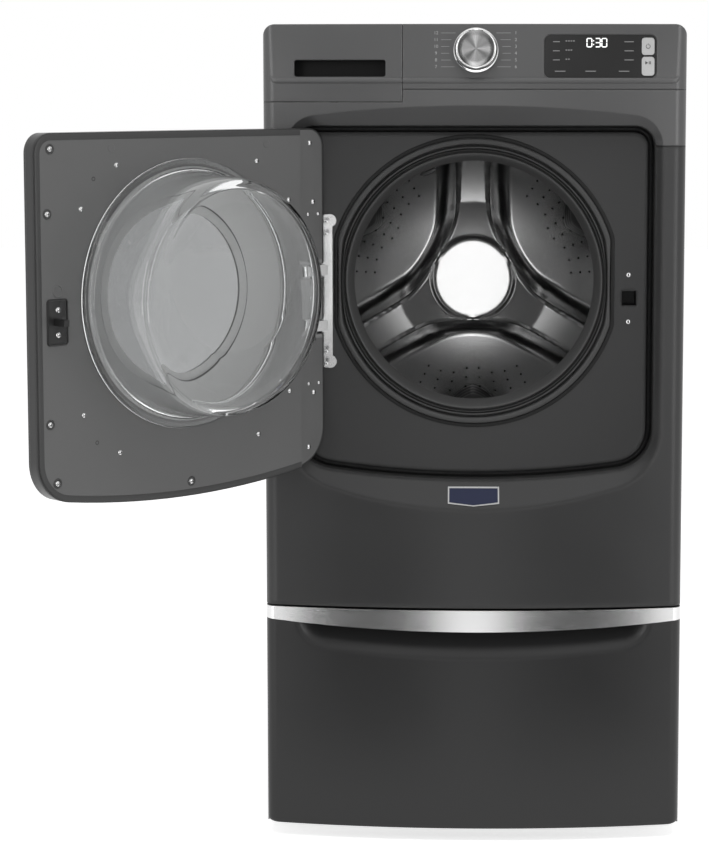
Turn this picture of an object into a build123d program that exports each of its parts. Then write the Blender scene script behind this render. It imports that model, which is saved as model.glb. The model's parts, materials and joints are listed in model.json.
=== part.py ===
from build123d import *
import math
import os

# Front load washing machine on its storage pedestal, in millimetres.
# X runs to the right as a user faces it, Y runs to the back, Z is up.
# The origin is on the floor, at the centre of the four feet. The door stands open.

os.makedirs("parts", exist_ok=True)

# ---- Overall sizes ---------------------------------------------------------
WIDTH = 686.0
SIDE_FRONT_Y = -395.0
SIDE_BACK_Y = 380.0
FRONT_NOSE = 50.0
WASHER_BOW = 30.0
PEDESTAL_BOW = 34.0
CORNER_R = 22.0
PEDESTAL_CORNER_R = 16.0
FOOT_HEIGHT = 22.0
PEDESTAL_HEIGHT = 368.5
DECK_GAP = 4.0
WASHER_HEIGHT = 951.5
SHEET = 1.5
SKIN = 3.0
SEAM = 0.8
FIT = 0.3
RUNNING = 0.05

FRONT_Y = SIDE_FRONT_Y - FRONT_NOSE
HALF = WIDTH / 2
PEDESTAL_TOP = FOOT_HEIGHT + PEDESTAL_HEIGHT
WASHER_BOTTOM = PEDESTAL_TOP + DECK_GAP
TOP = WASHER_BOTTOM + WASHER_HEIGHT


def bow_radius(bow):
    """Radius of an arc that bows forward by bow over the full width."""
    return (HALF ** 2 + bow ** 2) / (2 * bow)


# Each bowed face is (arc radius, how far its middle lies back, corner radius).
WASHER_FACE = (bow_radius(WASHER_BOW), 0.0, CORNER_R)
PEDESTAL_FACE = (bow_radius(PEDESTAL_BOW), 0.0, PEDESTAL_CORNER_R)

# ---- Door pocket and porthole ----------------------------------------------
POCKET_WIDTH = 586.0
POCKET_DROP = 164.0
POCKET_HEIGHT = 579.0
POCKET_CURVE_R = 1590.0
POCKET_TOP_R = 33.0
POCKET_LOW_R = 66.0
POCKET_DEPTH = 5.0
BEVEL_DEPTH = 37.0
BEVEL_SIDE = 34.0
BEVEL_LOW = 46.0
BEVEL_WALL = 2.5
BEVEL_OVER = 6.0
CHANNEL_WIDTH = 10.0
CHANNEL_DEPTH = 14.0
POCKET_TOP = TOP - POCKET_DROP
POCKET_BOTTOM = POCKET_TOP - POCKET_HEIGHT
FLOOR_Y = SIDE_FRONT_Y + POCKET_DEPTH
CHANNEL_Y = FLOOR_Y + CHANNEL_DEPTH
LIP_Y = FRONT_Y + BEVEL_DEPTH
BEVEL_REACH = (BEVEL_DEPTH + BEVEL_OVER) / BEVEL_DEPTH

PORT_DROP = 254.0
PORT_Z = POCKET_TOP - PORT_DROP
PORT_HOLE_R = 226.0
GASKET_RIM_R = 241.0
GASKET_FLAT = 230.0
GASKET_MOUTH_R = 196.5

# ---- Door ------------------------------------------------------------------
DOOR_GAP = 3.0
DOOR_LOW_GAP = 9.0
DOOR_SKIN = 2.0
DOOR_PANEL = 3.0
DOOR_BACK_GAP = 9.0
DOOR_OPEN = 134.0
HINGE_INSET = 22.0
HINGE_DEPTH = 19.0
HINGE_STEP_WIDTH = 58.0
HINGE_STEP = 10.0
ARM_SPACING = 91.5
ARM_DROP = 26.5
ARM_HEIGHT = 17.0
ARM_THICK = 4.0
ARM_SEAT = 1.7
BARREL_R = 5.5
PIN_R = 3.0
BOWL_WALL = 5.0

DOOR_HALF = POCKET_WIDTH / 2 - DOOR_GAP
DOOR_INNER_Y = FLOOR_Y - DOOR_BACK_GAP
HINGE_X = -DOOR_HALF + HINGE_INSET
HINGE_Y = DOOR_INNER_Y - HINGE_DEPTH
HINGE_LINE = Axis((HINGE_X, HINGE_Y, 0), (0, 0, 1))
ARM_Z = (PORT_Z - ARM_DROP - ARM_SPACING / 2, PORT_Z - ARM_DROP + ARM_SPACING / 2)

# ---- Console ---------------------------------------------------------------
CONSOLE_HEIGHT = 95.0
FACE_LEAN = 14.0
CONSOLE_TOP_BOW = 20.0
CONSOLE_TOP_CORNER_R = 17.0
FASCIA_LEG_DROP = 195.0
DISPENSER_WIDTH = 227.6
DISPENSER_DROP = 125.3
TOP_CORNER_R = 20.0
LID_SKIRT = 30.0

FACE_BOTTOM = TOP - CONSOLE_HEIGHT
FACE_ANGLE = math.degrees(math.atan2(FACE_LEAN, CONSOLE_HEIGHT))
CONSOLE_TOP_FACE = (bow_radius(CONSOLE_TOP_BOW), FACE_LEAN, CONSOLE_TOP_CORNER_R)
FASCIA_BOTTOM = TOP - FASCIA_LEG_DROP
DISPENSER_BOTTOM = TOP - DISPENSER_DROP
DISPENSER_EDGE_X = DISPENSER_WIDTH - HALF
FRONT_TOP = FASCIA_BOTTOM - SEAM

# ---- Wash unit: tilted axis through the porthole centre ----------------------
TILT = 4.0
TUB_R = 290.0
TUB_WALL = 4.0
TUB_FRONT = 100.0
TUB_LENGTH = 512.0
TUB_NECK_R = 222.0
DRUM_GAP = 16.0
DRUM_FRONT = 112.0
DRUM_BACK_GAP = 57.0
DRUM_MOUTH_R = 212.0
SHAFT_R = 17.0
PULLEY_R = 140.0
MOTOR_PULLEY_R = 12.0
MOTOR_DROP = 362.0
MOTOR_R = 58.0

tilt = math.radians(TILT)
WASH_ORIGIN = (0, FLOOR_Y, PORT_Z)
WASH_WAY = (0, math.cos(tilt), -math.sin(tilt))
WASH = Plane(origin=WASH_ORIGIN, x_dir=(-1, 0, 0), z_dir=WASH_WAY)
WASH_SECTION = Plane(origin=WASH_ORIGIN, x_dir=WASH_WAY, z_dir=(1, 0, 0))
WASH_AXIS = Axis(WASH_ORIGIN, WASH_WAY)
PORT_SECTION = Plane(origin=WASH_ORIGIN, x_dir=(0, 1, 0), z_dir=(1, 0, 0))
PORT_AXIS = Axis(WASH_ORIGIN, (0, 1, 0))


# ---- Shapes that several pieces share ----------------------------------------
def upright(y):
    """The front-facing plane at depth y: sketch x is X and sketch y is Z."""
    return Plane.XZ.offset(-y)


def front_y(x, inset=0.0, face=WASHER_FACE):
    """Depth of a bowed face at x, moved inwards by inset."""
    radius, shift, _ = face
    return FRONT_Y + shift + radius - math.sqrt((radius - inset) ** 2 - x ** 2)


def bowed_plan(inset, back_y, face=WASHER_FACE):
    """Plan outline of a bowed face with rounded corners, closed at back_y."""
    half = HALF - inset
    side = front_y(half, inset, face)
    with BuildSketch(mode=Mode.PRIVATE) as plan:
        with BuildLine():
            ThreePointArc((-half, side), (0, front_y(0, inset, face)), (half, side))
            Polyline((half, side), (half, back_y), (-half, back_y), (-half, side))
        make_face()
        fillet(plan.vertices().group_by(Axis.Y)[0], max(face[2] - inset, SHEET))
    return plan.sketch


def bowed_block(low, high, inset, back_y, face=WASHER_FACE):
    """Solid behind the bowed front between two heights."""
    with BuildPart(mode=Mode.PRIVATE) as block:
        with BuildSketch(Plane.XY.offset(low)):
            add(bowed_plan(inset, back_y, face))
        extrude(amount=high - low)
    return block.part


def leaning_block(inset, back_y):
    """Solid behind the console face, whose middle leans back towards the top."""
    with BuildPart(mode=Mode.PRIVATE) as block:
        with BuildSketch(Plane.XY.offset(FACE_BOTTOM)):
            add(bowed_plan(inset, back_y))
        with BuildSketch(Plane.XY.offset(TOP)):
            add(bowed_plan(inset, back_y, CONSOLE_TOP_FACE))
        loft(ruled=True)
        with BuildSketch(Plane.XY.offset(TOP - inset)):
            Rectangle(WIDTH * 2, WIDTH * 2)
        extrude(amount=CONSOLE_HEIGHT, mode=Mode.SUBTRACT)
    return block.part


def door_outline(half, top, low, inset, top_r=POCKET_TOP_R, low_r=POCKET_LOW_R):
    """Outline shared by the door and its pocket: straight sides, gently curved bottom edge."""
    curve = POCKET_CURVE_R - inset
    centre = low + POCKET_CURVE_R
    side = centre - math.sqrt(curve ** 2 - (half - inset) ** 2)
    with BuildSketch(mode=Mode.PRIVATE) as outline:
        with BuildLine():
            ThreePointArc((inset - half, side), (0, centre - curve), (half - inset, side))
            Polyline((half - inset, side), (half - inset, top - inset),
                     (inset - half, top - inset), (inset - half, side))
        make_face()
        corners = outline.vertices().sort_by(Axis.Y)
        fillet(corners[:2], low_r - inset)
        top_corners = outline.vertices().group_by(Axis.Y)[-1]
        fillet(top_corners, top_r - inset)
    return outline.sketch


def pocket_outline(inset):
    """Outline of the door pocket, moved inwards by inset."""
    return door_outline(POCKET_WIDTH / 2, POCKET_TOP, POCKET_BOTTOM, inset)


def bevel_block(grow):
    """Solid in front of the bevel that slopes from the bowed face into the pocket."""
    side = BEVEL_SIDE * BEVEL_REACH
    low = BEVEL_LOW * BEVEL_REACH
    with BuildPart(mode=Mode.PRIVATE) as block:
        with BuildSketch(upright(LIP_Y)):
            add(pocket_outline(-grow))
        with BuildSketch(upright(FRONT_Y - BEVEL_OVER)):
            add(door_outline(POCKET_WIDTH / 2 + side, POCKET_TOP + side, POCKET_BOTTOM - low, -grow,
                             POCKET_TOP_R + side, POCKET_LOW_R + low))
        loft(ruled=True)
    return block.part


def door_face(inset):
    """Outline of the closed door, moved inwards by inset."""
    return door_outline(DOOR_HALF, POCKET_TOP - DOOR_GAP, POCKET_BOTTOM + DOOR_LOW_GAP, inset,
                        POCKET_TOP_R - DOOR_GAP, POCKET_LOW_R - DOOR_GAP)


def prism(outline, front, back):
    """Solid made from an upright outline between two depths."""
    with BuildPart(mode=Mode.PRIVATE) as block:
        with BuildSketch(upright(back)):
            add(outline)
        extrude(amount=back - front)
    return block.part


def box_between(low, high):
    """Box between two opposite corners."""
    with BuildPart(mode=Mode.PRIVATE) as block:
        with Locations([((low[0] + high[0]) / 2, (low[1] + high[1]) / 2, (low[2] + high[2]) / 2)]):
            Box(high[0] - low[0], high[1] - low[1], high[2] - low[2])
    return block.part


def turned(points, section, axis):
    """Ring made by turning a closed section of (along, radius) points about an axis."""
    with BuildPart(mode=Mode.PRIVATE) as ring:
        with BuildSketch(section):
            with BuildLine():
                Polyline(*points, close=True)
            make_face()
        revolve(axis=axis)
    return ring.part


def swung_open(part):
    """The door's pieces are made closed and then turned about the hinge to the open stop."""
    return part.rotate(HINGE_LINE, -DOOR_OPEN)


# ---- Levelling feet --------------------------------------------------------
FOOT_INSET = 73.0
FOOT_X = HALF - FOOT_INSET
FOOT_Y = 310.0
FOOT_R = 21.0
FOOT_PAD = 9.0
FOOT_NUT = FOOT_HEIGHT - FOOT_PAD - RUNNING
FOOT_STUD_R = 6.0
STUD_REACH = 36.0
FOOT_NAMES = {
    "foot_front_left": (-FOOT_X, -FOOT_Y),
    "foot_front_right": (FOOT_X, -FOOT_Y),
    "foot_rear_left": (-FOOT_X, FOOT_Y),
    "foot_rear_right": (FOOT_X, FOOT_Y),
}

for foot_name, (foot_x, foot_y) in FOOT_NAMES.items():
    with BuildPart() as foot:
        with Locations((foot_x, foot_y, 0)):
            Cylinder(FOOT_R, FOOT_PAD, align=(Align.CENTER, Align.CENTER, Align.MIN))
        with BuildSketch(Plane.XY.offset(FOOT_PAD)):
            with Locations((foot_x, foot_y)):
                RegularPolygon(FOOT_STUD_R * 2, 6)
        extrude(amount=FOOT_NUT)
        with Locations((foot_x, foot_y, FOOT_PAD)):
            Cylinder(FOOT_STUD_R, STUD_REACH, align=(Align.CENTER, Align.CENTER, Align.MIN))
    foot.part.label = foot_name
    export_step(foot.part, f"parts/{foot_name}.step")


# ---- Pedestal cabinet and base -----------------------------------------------
FRAME_SIDE = 50.0
FRAME_HEIGHT = 30.0
BOLT_R = 4.0
BOLT_HOLE_R = 4.5
BOLT_INSET = 73.0
BOLT_X = HALF - BOLT_INSET
BOLT_Y = 300.0

with BuildPart() as pedestal_base:
    with BuildSketch(Plane.XY.offset(FOOT_HEIGHT)):
        frame_length = SIDE_BACK_Y - SIDE_FRONT_Y - 2 * SHEET
        with Locations((0, (SIDE_BACK_Y + SIDE_FRONT_Y) / 2)):
            Rectangle(WIDTH - 2 * SHEET, frame_length)
            Rectangle(WIDTH - 2 * SHEET - 2 * FRAME_SIDE, frame_length - 2 * FRAME_SIDE, mode=Mode.SUBTRACT)
    extrude(amount=SHEET)
    with BuildSketch(Plane.XY.offset(FOOT_HEIGHT)):
        with Locations(*[(x, y) for x, y in FOOT_NAMES.values()]):
            Rectangle(FRAME_SIDE, FRAME_SIDE)
    extrude(amount=FRAME_HEIGHT - SHEET)
    with Locations(*[(x, y, FOOT_HEIGHT) for x, y in FOOT_NAMES.values()]):
        Cylinder(FOOT_STUD_R + RUNNING, FRAME_HEIGHT * 3, mode=Mode.SUBTRACT)
pedestal_base.part.label = "pedestal_base"
export_step(pedestal_base.part, "parts/pedestal_base.step")

with BuildPart() as pedestal_cabinet:
    add(box_between((-HALF, SIDE_FRONT_Y, FOOT_HEIGHT), (HALF, SIDE_BACK_Y, PEDESTAL_TOP)))
    add(box_between((SHEET - HALF, SIDE_FRONT_Y - SHEET, FOOT_HEIGHT - SHEET),
                    (HALF - SHEET, SIDE_BACK_Y - SHEET, PEDESTAL_TOP - SHEET)), mode=Mode.SUBTRACT)
    with Locations((0, 0, PEDESTAL_TOP)):
        with GridLocations(2 * BOLT_X, 2 * BOLT_Y, 2, 2):
            Cylinder(BOLT_HOLE_R, SHEET * 4, mode=Mode.SUBTRACT)
pedestal_cabinet.part.label = "pedestal_cabinet"
export_step(pedestal_cabinet.part, "parts/pedestal_cabinet.step")

# ---- Pedestal drawer -----------------------------------------------------------
RAIL_THICK = 12.0
RAIL_HEIGHT = 40.0
RAIL_Z = 190.0
BOX_WALL = 3.0
BOX_LOW = 60.0
BOX_HIGH = 320.0
BOX_BACK_Y = 330.0
FRONT_BACK_Y = SIDE_FRONT_Y - 1.5
STRIP_THICK = 3.0
STRIP_HEIGHT = 36.0
STRIP_RISE = 15.4
HOLLOW_HEIGHT = 45.0
HOLLOW_HALF = 288.0
HOLLOW_DEPTH = 34.0
HOLLOW_BEHIND = 14.0
HOLLOW_R = 6.0
DRAWER_LOW_R = 8.0

rail_x = HALF - SHEET
runner_x = rail_x - RAIL_THICK - FIT
box_x = runner_x - RAIL_THICK
strip_low = PEDESTAL_TOP - STRIP_HEIGHT
hollow_low = strip_low - HOLLOW_HEIGHT


def below_strip(gap):
    """Region under the handle strip's curved lower edge."""
    edge = strip_low - gap
    with BuildSketch(mode=Mode.PRIVATE) as region:
        with BuildLine():
            ThreePointArc((-HALF, edge + STRIP_RISE), (0, edge), (HALF, edge + STRIP_RISE))
            Polyline((HALF, edge + STRIP_RISE), (HALF, 0), (-HALF, 0), (-HALF, edge + STRIP_RISE))
        make_face()
    return region.sketch


with BuildPart() as pedestal_handle_strip:
    add(bowed_block(strip_low - DECK_GAP, PEDESTAL_TOP, 0, FRONT_BACK_Y, PEDESTAL_FACE))
    add(bowed_block(strip_low - 2 * DECK_GAP, PEDESTAL_TOP + DECK_GAP, STRIP_THICK, SIDE_FRONT_Y, PEDESTAL_FACE),
        mode=Mode.SUBTRACT)
    add(prism(below_strip(0), FRONT_Y - SKIN, SIDE_FRONT_Y), mode=Mode.SUBTRACT)
pedestal_handle_strip.part.label = "pedestal_handle_strip"
export_step(pedestal_handle_strip.part, "parts/pedestal_handle_strip.step")

def finger_hollow(grow):
    """Crescent finger pull under the strip, grown outwards by grow."""
    low = hollow_low - grow
    high = strip_low + HOLLOW_BEHIND + grow
    back = FRONT_Y + HOLLOW_DEPTH + grow
    with BuildPart(mode=Mode.PRIVATE) as hollow:
        with BuildSketch(Plane.YZ.offset(-HOLLOW_HALF)):
            with BuildLine():
                Polyline((FRONT_Y - SKIN, low), (FRONT_Y + SKIN, low), (back, strip_low), (back, high),
                         (FRONT_Y - SKIN, high), close=True)
            make_face()
            fillet(vertices().group_by(Axis.X)[-1], HOLLOW_R + grow)
        extrude(amount=2 * HOLLOW_HALF)
        with BuildSketch(upright(SIDE_FRONT_Y + WIDTH / 2)):
            with BuildLine():
                ThreePointArc((-HOLLOW_HALF, high), (0, low), (HOLLOW_HALF, high))
                Line((HOLLOW_HALF, high), (-HOLLOW_HALF, high))
            make_face()
        extrude(amount=WIDTH, mode=Mode.INTERSECT)
    return hollow.part


drawer_body = bowed_block(FOOT_HEIGHT, PEDESTAL_TOP, 0, FRONT_BACK_Y, PEDESTAL_FACE)
with BuildPart() as pedestal_drawer_front:
    add(drawer_body)
    for low, high, inset in ((FOOT_HEIGHT + SKIN, strip_low - SKIN, SKIN),
                             (strip_low - 2 * SKIN, PEDESTAL_TOP - SKIN, 2 * SKIN)):
        room = box_between((-HALF, FRONT_Y, low), (HALF, FRONT_BACK_Y - SKIN, high))
        add(room & bowed_block(low, high, inset, SIDE_FRONT_Y + SKIN, PEDESTAL_FACE), mode=Mode.SUBTRACT)
    add(box_between((-box_x + FRAME_SIDE, FRONT_BACK_Y - 2 * SKIN, BOX_LOW + FRAME_SIDE),
                    (box_x - FRAME_SIDE, SIDE_FRONT_Y, BOX_HIGH - FRAME_SIDE)), mode=Mode.SUBTRACT)
    add(finger_hollow(SKIN) & drawer_body)
    with BuildSketch(upright(SIDE_FRONT_Y)):
        with Locations((0, PEDESTAL_TOP + DRAWER_LOW_R)):
            RectangleRounded(WIDTH, 2 * (PEDESTAL_HEIGHT + DRAWER_LOW_R), DRAWER_LOW_R)
    extrude(amount=FRONT_NOSE * 2, mode=Mode.INTERSECT)
    add(finger_hollow(0), mode=Mode.SUBTRACT)
    with BuildSketch(upright(SIDE_FRONT_Y)) as strip_zone:
        with Locations((0, PEDESTAL_TOP)):
            Rectangle(WIDTH * 2, STRIP_HEIGHT * 4)
        add(below_strip(SEAM), mode=Mode.SUBTRACT)
    strip_seat = extrude(amount=FRONT_NOSE * 2, mode=Mode.PRIVATE)
    add(strip_seat - bowed_block(0, TOP, STRIP_THICK, SIDE_FRONT_Y + SKIN, PEDESTAL_FACE), mode=Mode.SUBTRACT)
pedestal_drawer_front.part.label = "pedestal_drawer_front"
export_step(pedestal_drawer_front.part, "parts/pedestal_drawer_front.step")

with BuildPart() as pedestal_drawer_box:
    add(box_between((-box_x, FRONT_BACK_Y, BOX_LOW), (box_x, BOX_BACK_Y, BOX_HIGH)))
    add(box_between((BOX_WALL - box_x, FRONT_BACK_Y + BOX_WALL, BOX_LOW + BOX_WALL),
                    (box_x - BOX_WALL, BOX_BACK_Y - BOX_WALL, BOX_HIGH + BOX_WALL)), mode=Mode.SUBTRACT)
pedestal_drawer_box.part.label = "pedestal_drawer_box"
export_step(pedestal_drawer_box.part, "parts/pedestal_drawer_box.step")

with BuildPart() as drawer_rails:
    for side in (-1, 1):
        outer = side * rail_x
        inner = side * (rail_x - RAIL_THICK)
        add(box_between((min(outer, inner), SIDE_FRONT_Y + 10, RAIL_Z - RAIL_HEIGHT / 2),
                        (max(outer, inner), BOX_BACK_Y, RAIL_Z + RAIL_HEIGHT / 2)))
drawer_rails.part.label = "drawer_rails"
export_step(drawer_rails.part, "parts/drawer_rails.step")

with BuildPart() as drawer_runners:
    for side in (-1, 1):
        outer = side * runner_x
        inner = side * box_x
        add(box_between((min(outer, inner), FRONT_BACK_Y, RAIL_Z - RAIL_HEIGHT / 4),
                        (max(outer, inner), BOX_BACK_Y, RAIL_Z + RAIL_HEIGHT / 4)))
drawer_runners.part.label = "drawer_runners"
export_step(drawer_runners.part, "parts/drawer_runners.step")

# ---- Washer cabinet: base frame, sides, back and lid ----------------------------
BASE_HEIGHT = 45.0
BASE_RAIL = 70.0
SIDE_TOP = TOP - LID_SKIRT
VALVE_INSET = 133.0
VALVE_X = HALF - VALVE_INSET
VALVE_DROP = 70.0
PORT_SPACING = 60.0
PORT_R = 13.0
PORT_BOSS = 3.0
DRAIN_INSET = 113.0
DRAIN_X = DRAIN_INSET - HALF
DRAIN_Z = TOP - 160.0
DRAIN_R = 14.0
GLAND_INSET = 73.0
GLAND_X = GLAND_INSET - HALF
GLAND_Z = WASHER_BOTTOM + 110.0
GLAND_R = 11.0

with BuildPart() as base_frame:
    add(box_between((SHEET - HALF, SIDE_FRONT_Y + SHEET, WASHER_BOTTOM),
                    (HALF - SHEET, SIDE_BACK_Y - SHEET, WASHER_BOTTOM + BASE_HEIGHT)))
    add(box_between((SHEET - HALF + BASE_RAIL, SIDE_FRONT_Y + SHEET + BASE_RAIL, WASHER_BOTTOM - SHEET),
                    (HALF - SHEET - BASE_RAIL, SIDE_BACK_Y - SHEET - BASE_RAIL, TOP)), mode=Mode.SUBTRACT)
    add(box_between((2 * SHEET - HALF, SIDE_FRONT_Y + 2 * SHEET, WASHER_BOTTOM + SHEET),
                    (HALF - 2 * SHEET, SIDE_BACK_Y - 2 * SHEET, TOP)), mode=Mode.SUBTRACT)
    with Locations((0, 0, WASHER_BOTTOM)):
        with GridLocations(2 * BOLT_X, 2 * BOLT_Y, 2, 2):
            Cylinder(BOLT_HOLE_R, SHEET * 4, mode=Mode.SUBTRACT)
base_frame.part.label = "base_frame"
export_step(base_frame.part, "parts/base_frame.step")

for panel_name, side in (("side_panel_left", -1), ("side_panel_right", 1)):
    outer = side * HALF
    inner = side * (HALF - SHEET)
    with BuildPart() as side_panel:
        add(box_between((min(outer, inner), SIDE_FRONT_Y, WASHER_BOTTOM),
                        (max(outer, inner), SIDE_BACK_Y, SIDE_TOP)))
    side_panel.part.label = panel_name
    export_step(side_panel.part, f"parts/{panel_name}.step")

with BuildPart() as top_panel:
    with BuildSketch(upright(SIDE_BACK_Y)):
        with Locations((0, TOP - WIDTH / 4)):
            RectangleRounded(WIDTH, WIDTH / 2, TOP_CORNER_R)
            RectangleRounded(WIDTH - 2 * SHEET, WIDTH / 2 - 2 * SHEET, TOP_CORNER_R - SHEET, mode=Mode.SUBTRACT)
        with Locations((0, SIDE_TOP + SEAM - WIDTH / 2)):
            Rectangle(WIDTH * 2, WIDTH, mode=Mode.SUBTRACT)
    extrude(amount=SIDE_BACK_Y - SIDE_FRONT_Y)
top_panel.part.label = "top_panel"
export_step(top_panel.part, "parts/top_panel.step")

with BuildPart() as rear_panel:
    with BuildSketch(upright(SIDE_BACK_Y)):
        with Locations((0, TOP - WIDTH / 4 - SHEET)):
            RectangleRounded(WIDTH - 2 * SHEET, WIDTH / 2, TOP_CORNER_R - SHEET)
        with Locations((0, (WASHER_BOTTOM + TOP - WIDTH / 4) / 2)):
            Rectangle(WIDTH - 2 * SHEET, TOP - WIDTH / 4 - WASHER_BOTTOM)
        with Locations((VALVE_X - PORT_SPACING / 2, TOP - VALVE_DROP), (VALVE_X + PORT_SPACING / 2, TOP - VALVE_DROP)):
            Circle(PORT_R + PORT_BOSS + FIT, mode=Mode.SUBTRACT)
        with Locations((DRAIN_X, DRAIN_Z)):
            Circle(DRAIN_R + FIT, mode=Mode.SUBTRACT)
        with Locations((GLAND_X, GLAND_Z)):
            Circle(GLAND_R, mode=Mode.SUBTRACT)
    extrude(amount=SHEET)
rear_panel.part.label = "rear_panel"
export_step(rear_panel.part, "parts/rear_panel.step")

# ---- Bowed front panel with the door pocket and porthole -------------------------
LOCK_X = 254.0
LOCK_DROP = 27.0
LOCK_SLOT_W = 23.0
LOCK_SLOT_H = 24.0
LOCK_Z = PORT_Z - LOCK_DROP

pocket_ring = prism(pocket_outline(-SHEET), LIP_Y, CHANNEL_Y) \
    - prism(pocket_outline(0), LIP_Y - SKIN, CHANNEL_Y + SKIN)
bevel_room = bevel_block(0)
bevel_back = bevel_block(BEVEL_WALL)
front_inside = bowed_block(WASHER_BOTTOM + SHEET, TOP, SHEET, SIDE_FRONT_Y + SKIN) \
    - (bevel_back + prism(pocket_outline(-SHEET), LIP_Y, CHANNEL_Y + 2 * SKIN))

with BuildPart() as front_panel:
    add(bowed_block(WASHER_BOTTOM, FRONT_TOP, 0, SIDE_FRONT_Y))
    add(bevel_room + prism(pocket_outline(0), LIP_Y, CHANNEL_Y + SKIN), mode=Mode.SUBTRACT)
    add(front_inside, mode=Mode.SUBTRACT)
    add(pocket_ring)
    with BuildSketch(upright(CHANNEL_Y)):
        add(pocket_outline(-SHEET))
        add(pocket_outline(CHANNEL_WIDTH + SHEET), mode=Mode.SUBTRACT)
    extrude(amount=-SHEET)
    with BuildSketch(upright(CHANNEL_Y)):
        add(pocket_outline(CHANNEL_WIDTH))
        add(pocket_outline(CHANNEL_WIDTH + SHEET), mode=Mode.SUBTRACT)
    extrude(amount=CHANNEL_DEPTH)
    with BuildSketch(upright(FLOOR_Y)):
        add(pocket_outline(CHANNEL_WIDTH))
        with Locations((0, PORT_Z)):
            Circle(PORT_HOLE_R, mode=Mode.SUBTRACT)
        with Locations((LOCK_X, LOCK_Z)):
            Rectangle(LOCK_SLOT_W, LOCK_SLOT_H, mode=Mode.SUBTRACT)
    extrude(amount=-SHEET)
front_panel.part.label = "front_panel"
export_step(front_panel.part, "parts/front_panel.step")

# ---- Console fascia -----------------------------------------------------------
SEAM_DROP = 105.5
GROOVE = 1.5
KNOB_X = 2.0
KNOB_DROP = 42.5
KNOB_R = 34.0
KNOB_SKIRT_R = 37.0
KNOB_LENGTH = 24.0
KNOB_SHAFT_R = 5.0
DISPLAY_INSET = 50.5
DISPLAY_WIDTH = 181.0
DISPLAY_X = (HALF - DISPLAY_INSET - DISPLAY_WIDTH, HALF - DISPLAY_INSET)
DISPLAY_Z = (TOP - 86.5, TOP - 17.5)
DISPLAY_R = 10.0
BUTTON_INSETS = (74.5, 54.0)
BUTTON_X = [HALF - inset for inset in BUTTON_INSETS]
POWER_Z = (TOP - 49.5, TOP - 22.0)
START_Z = (TOP - 82.5, TOP - 52.5)
BUTTON_R = 5.0
BUTTON_PROUD = 0.8
BUTTON_TRAVEL = 1.5
BUTTON_THICK = 6.0


def rounded_window(x_range, z_range, radius, grow=0.0):
    """Upright rounded rectangle between two x and two z values."""
    with BuildSketch(mode=Mode.PRIVATE) as window:
        with Locations(((x_range[0] + x_range[1]) / 2, (z_range[0] + z_range[1]) / 2)):
            RectangleRounded(x_range[1] - x_range[0] + 2 * grow, z_range[1] - z_range[0] + 2 * grow,
                             radius + grow)
    return window.sketch


def face_slice(outline, outside, inside):
    """Slice of the leaning console face inside an outline, between two insets."""
    back_y = SIDE_FRONT_Y + FRONT_NOSE
    block = leaning_block(outside, back_y) - leaning_block(inside, back_y + SKIN)
    return block & prism(outline, FRONT_Y - 2 * SKIN, FRONT_Y + FRONT_NOSE)


display_hole = prism(rounded_window(DISPLAY_X, DISPLAY_Z, DISPLAY_R, FIT), FRONT_Y - SKIN, SIDE_FRONT_Y)
dispenser_zone = box_between((-WIDTH, FRONT_Y - SKIN, DISPENSER_BOTTOM), (DISPENSER_EDGE_X, SIDE_FRONT_Y, TOP + SKIN))

with BuildPart() as console_body:
    add(leaning_block(0, SIDE_FRONT_Y))
    add(bowed_block(FASCIA_BOTTOM, FACE_BOTTOM, 0, SIDE_FRONT_Y))
    add(leaning_block(SKIN, SIDE_FRONT_Y + SKIN), mode=Mode.SUBTRACT)
    add(bowed_block(FASCIA_BOTTOM - SKIN, FACE_BOTTOM, SKIN, SIDE_FRONT_Y + SKIN), mode=Mode.SUBTRACT)
    with BuildSketch(upright(SIDE_FRONT_Y + SKIN)):
        with Locations((0, TOP - WIDTH / 2)):
            RectangleRounded(WIDTH, WIDTH, TOP_CORNER_R)
    extrude(amount=FRONT_NOSE * 2, mode=Mode.INTERSECT)

knob_y = front_y(KNOB_X) + FACE_LEAN * (CONSOLE_HEIGHT - KNOB_DROP) / CONSOLE_HEIGHT
lean = math.radians(FACE_ANGLE)
KNOB_PLANE = Plane(origin=(KNOB_X, knob_y, TOP - KNOB_DROP), x_dir=(1, 0, 0),
                   z_dir=(0, -math.cos(lean), math.sin(lean)))

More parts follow.
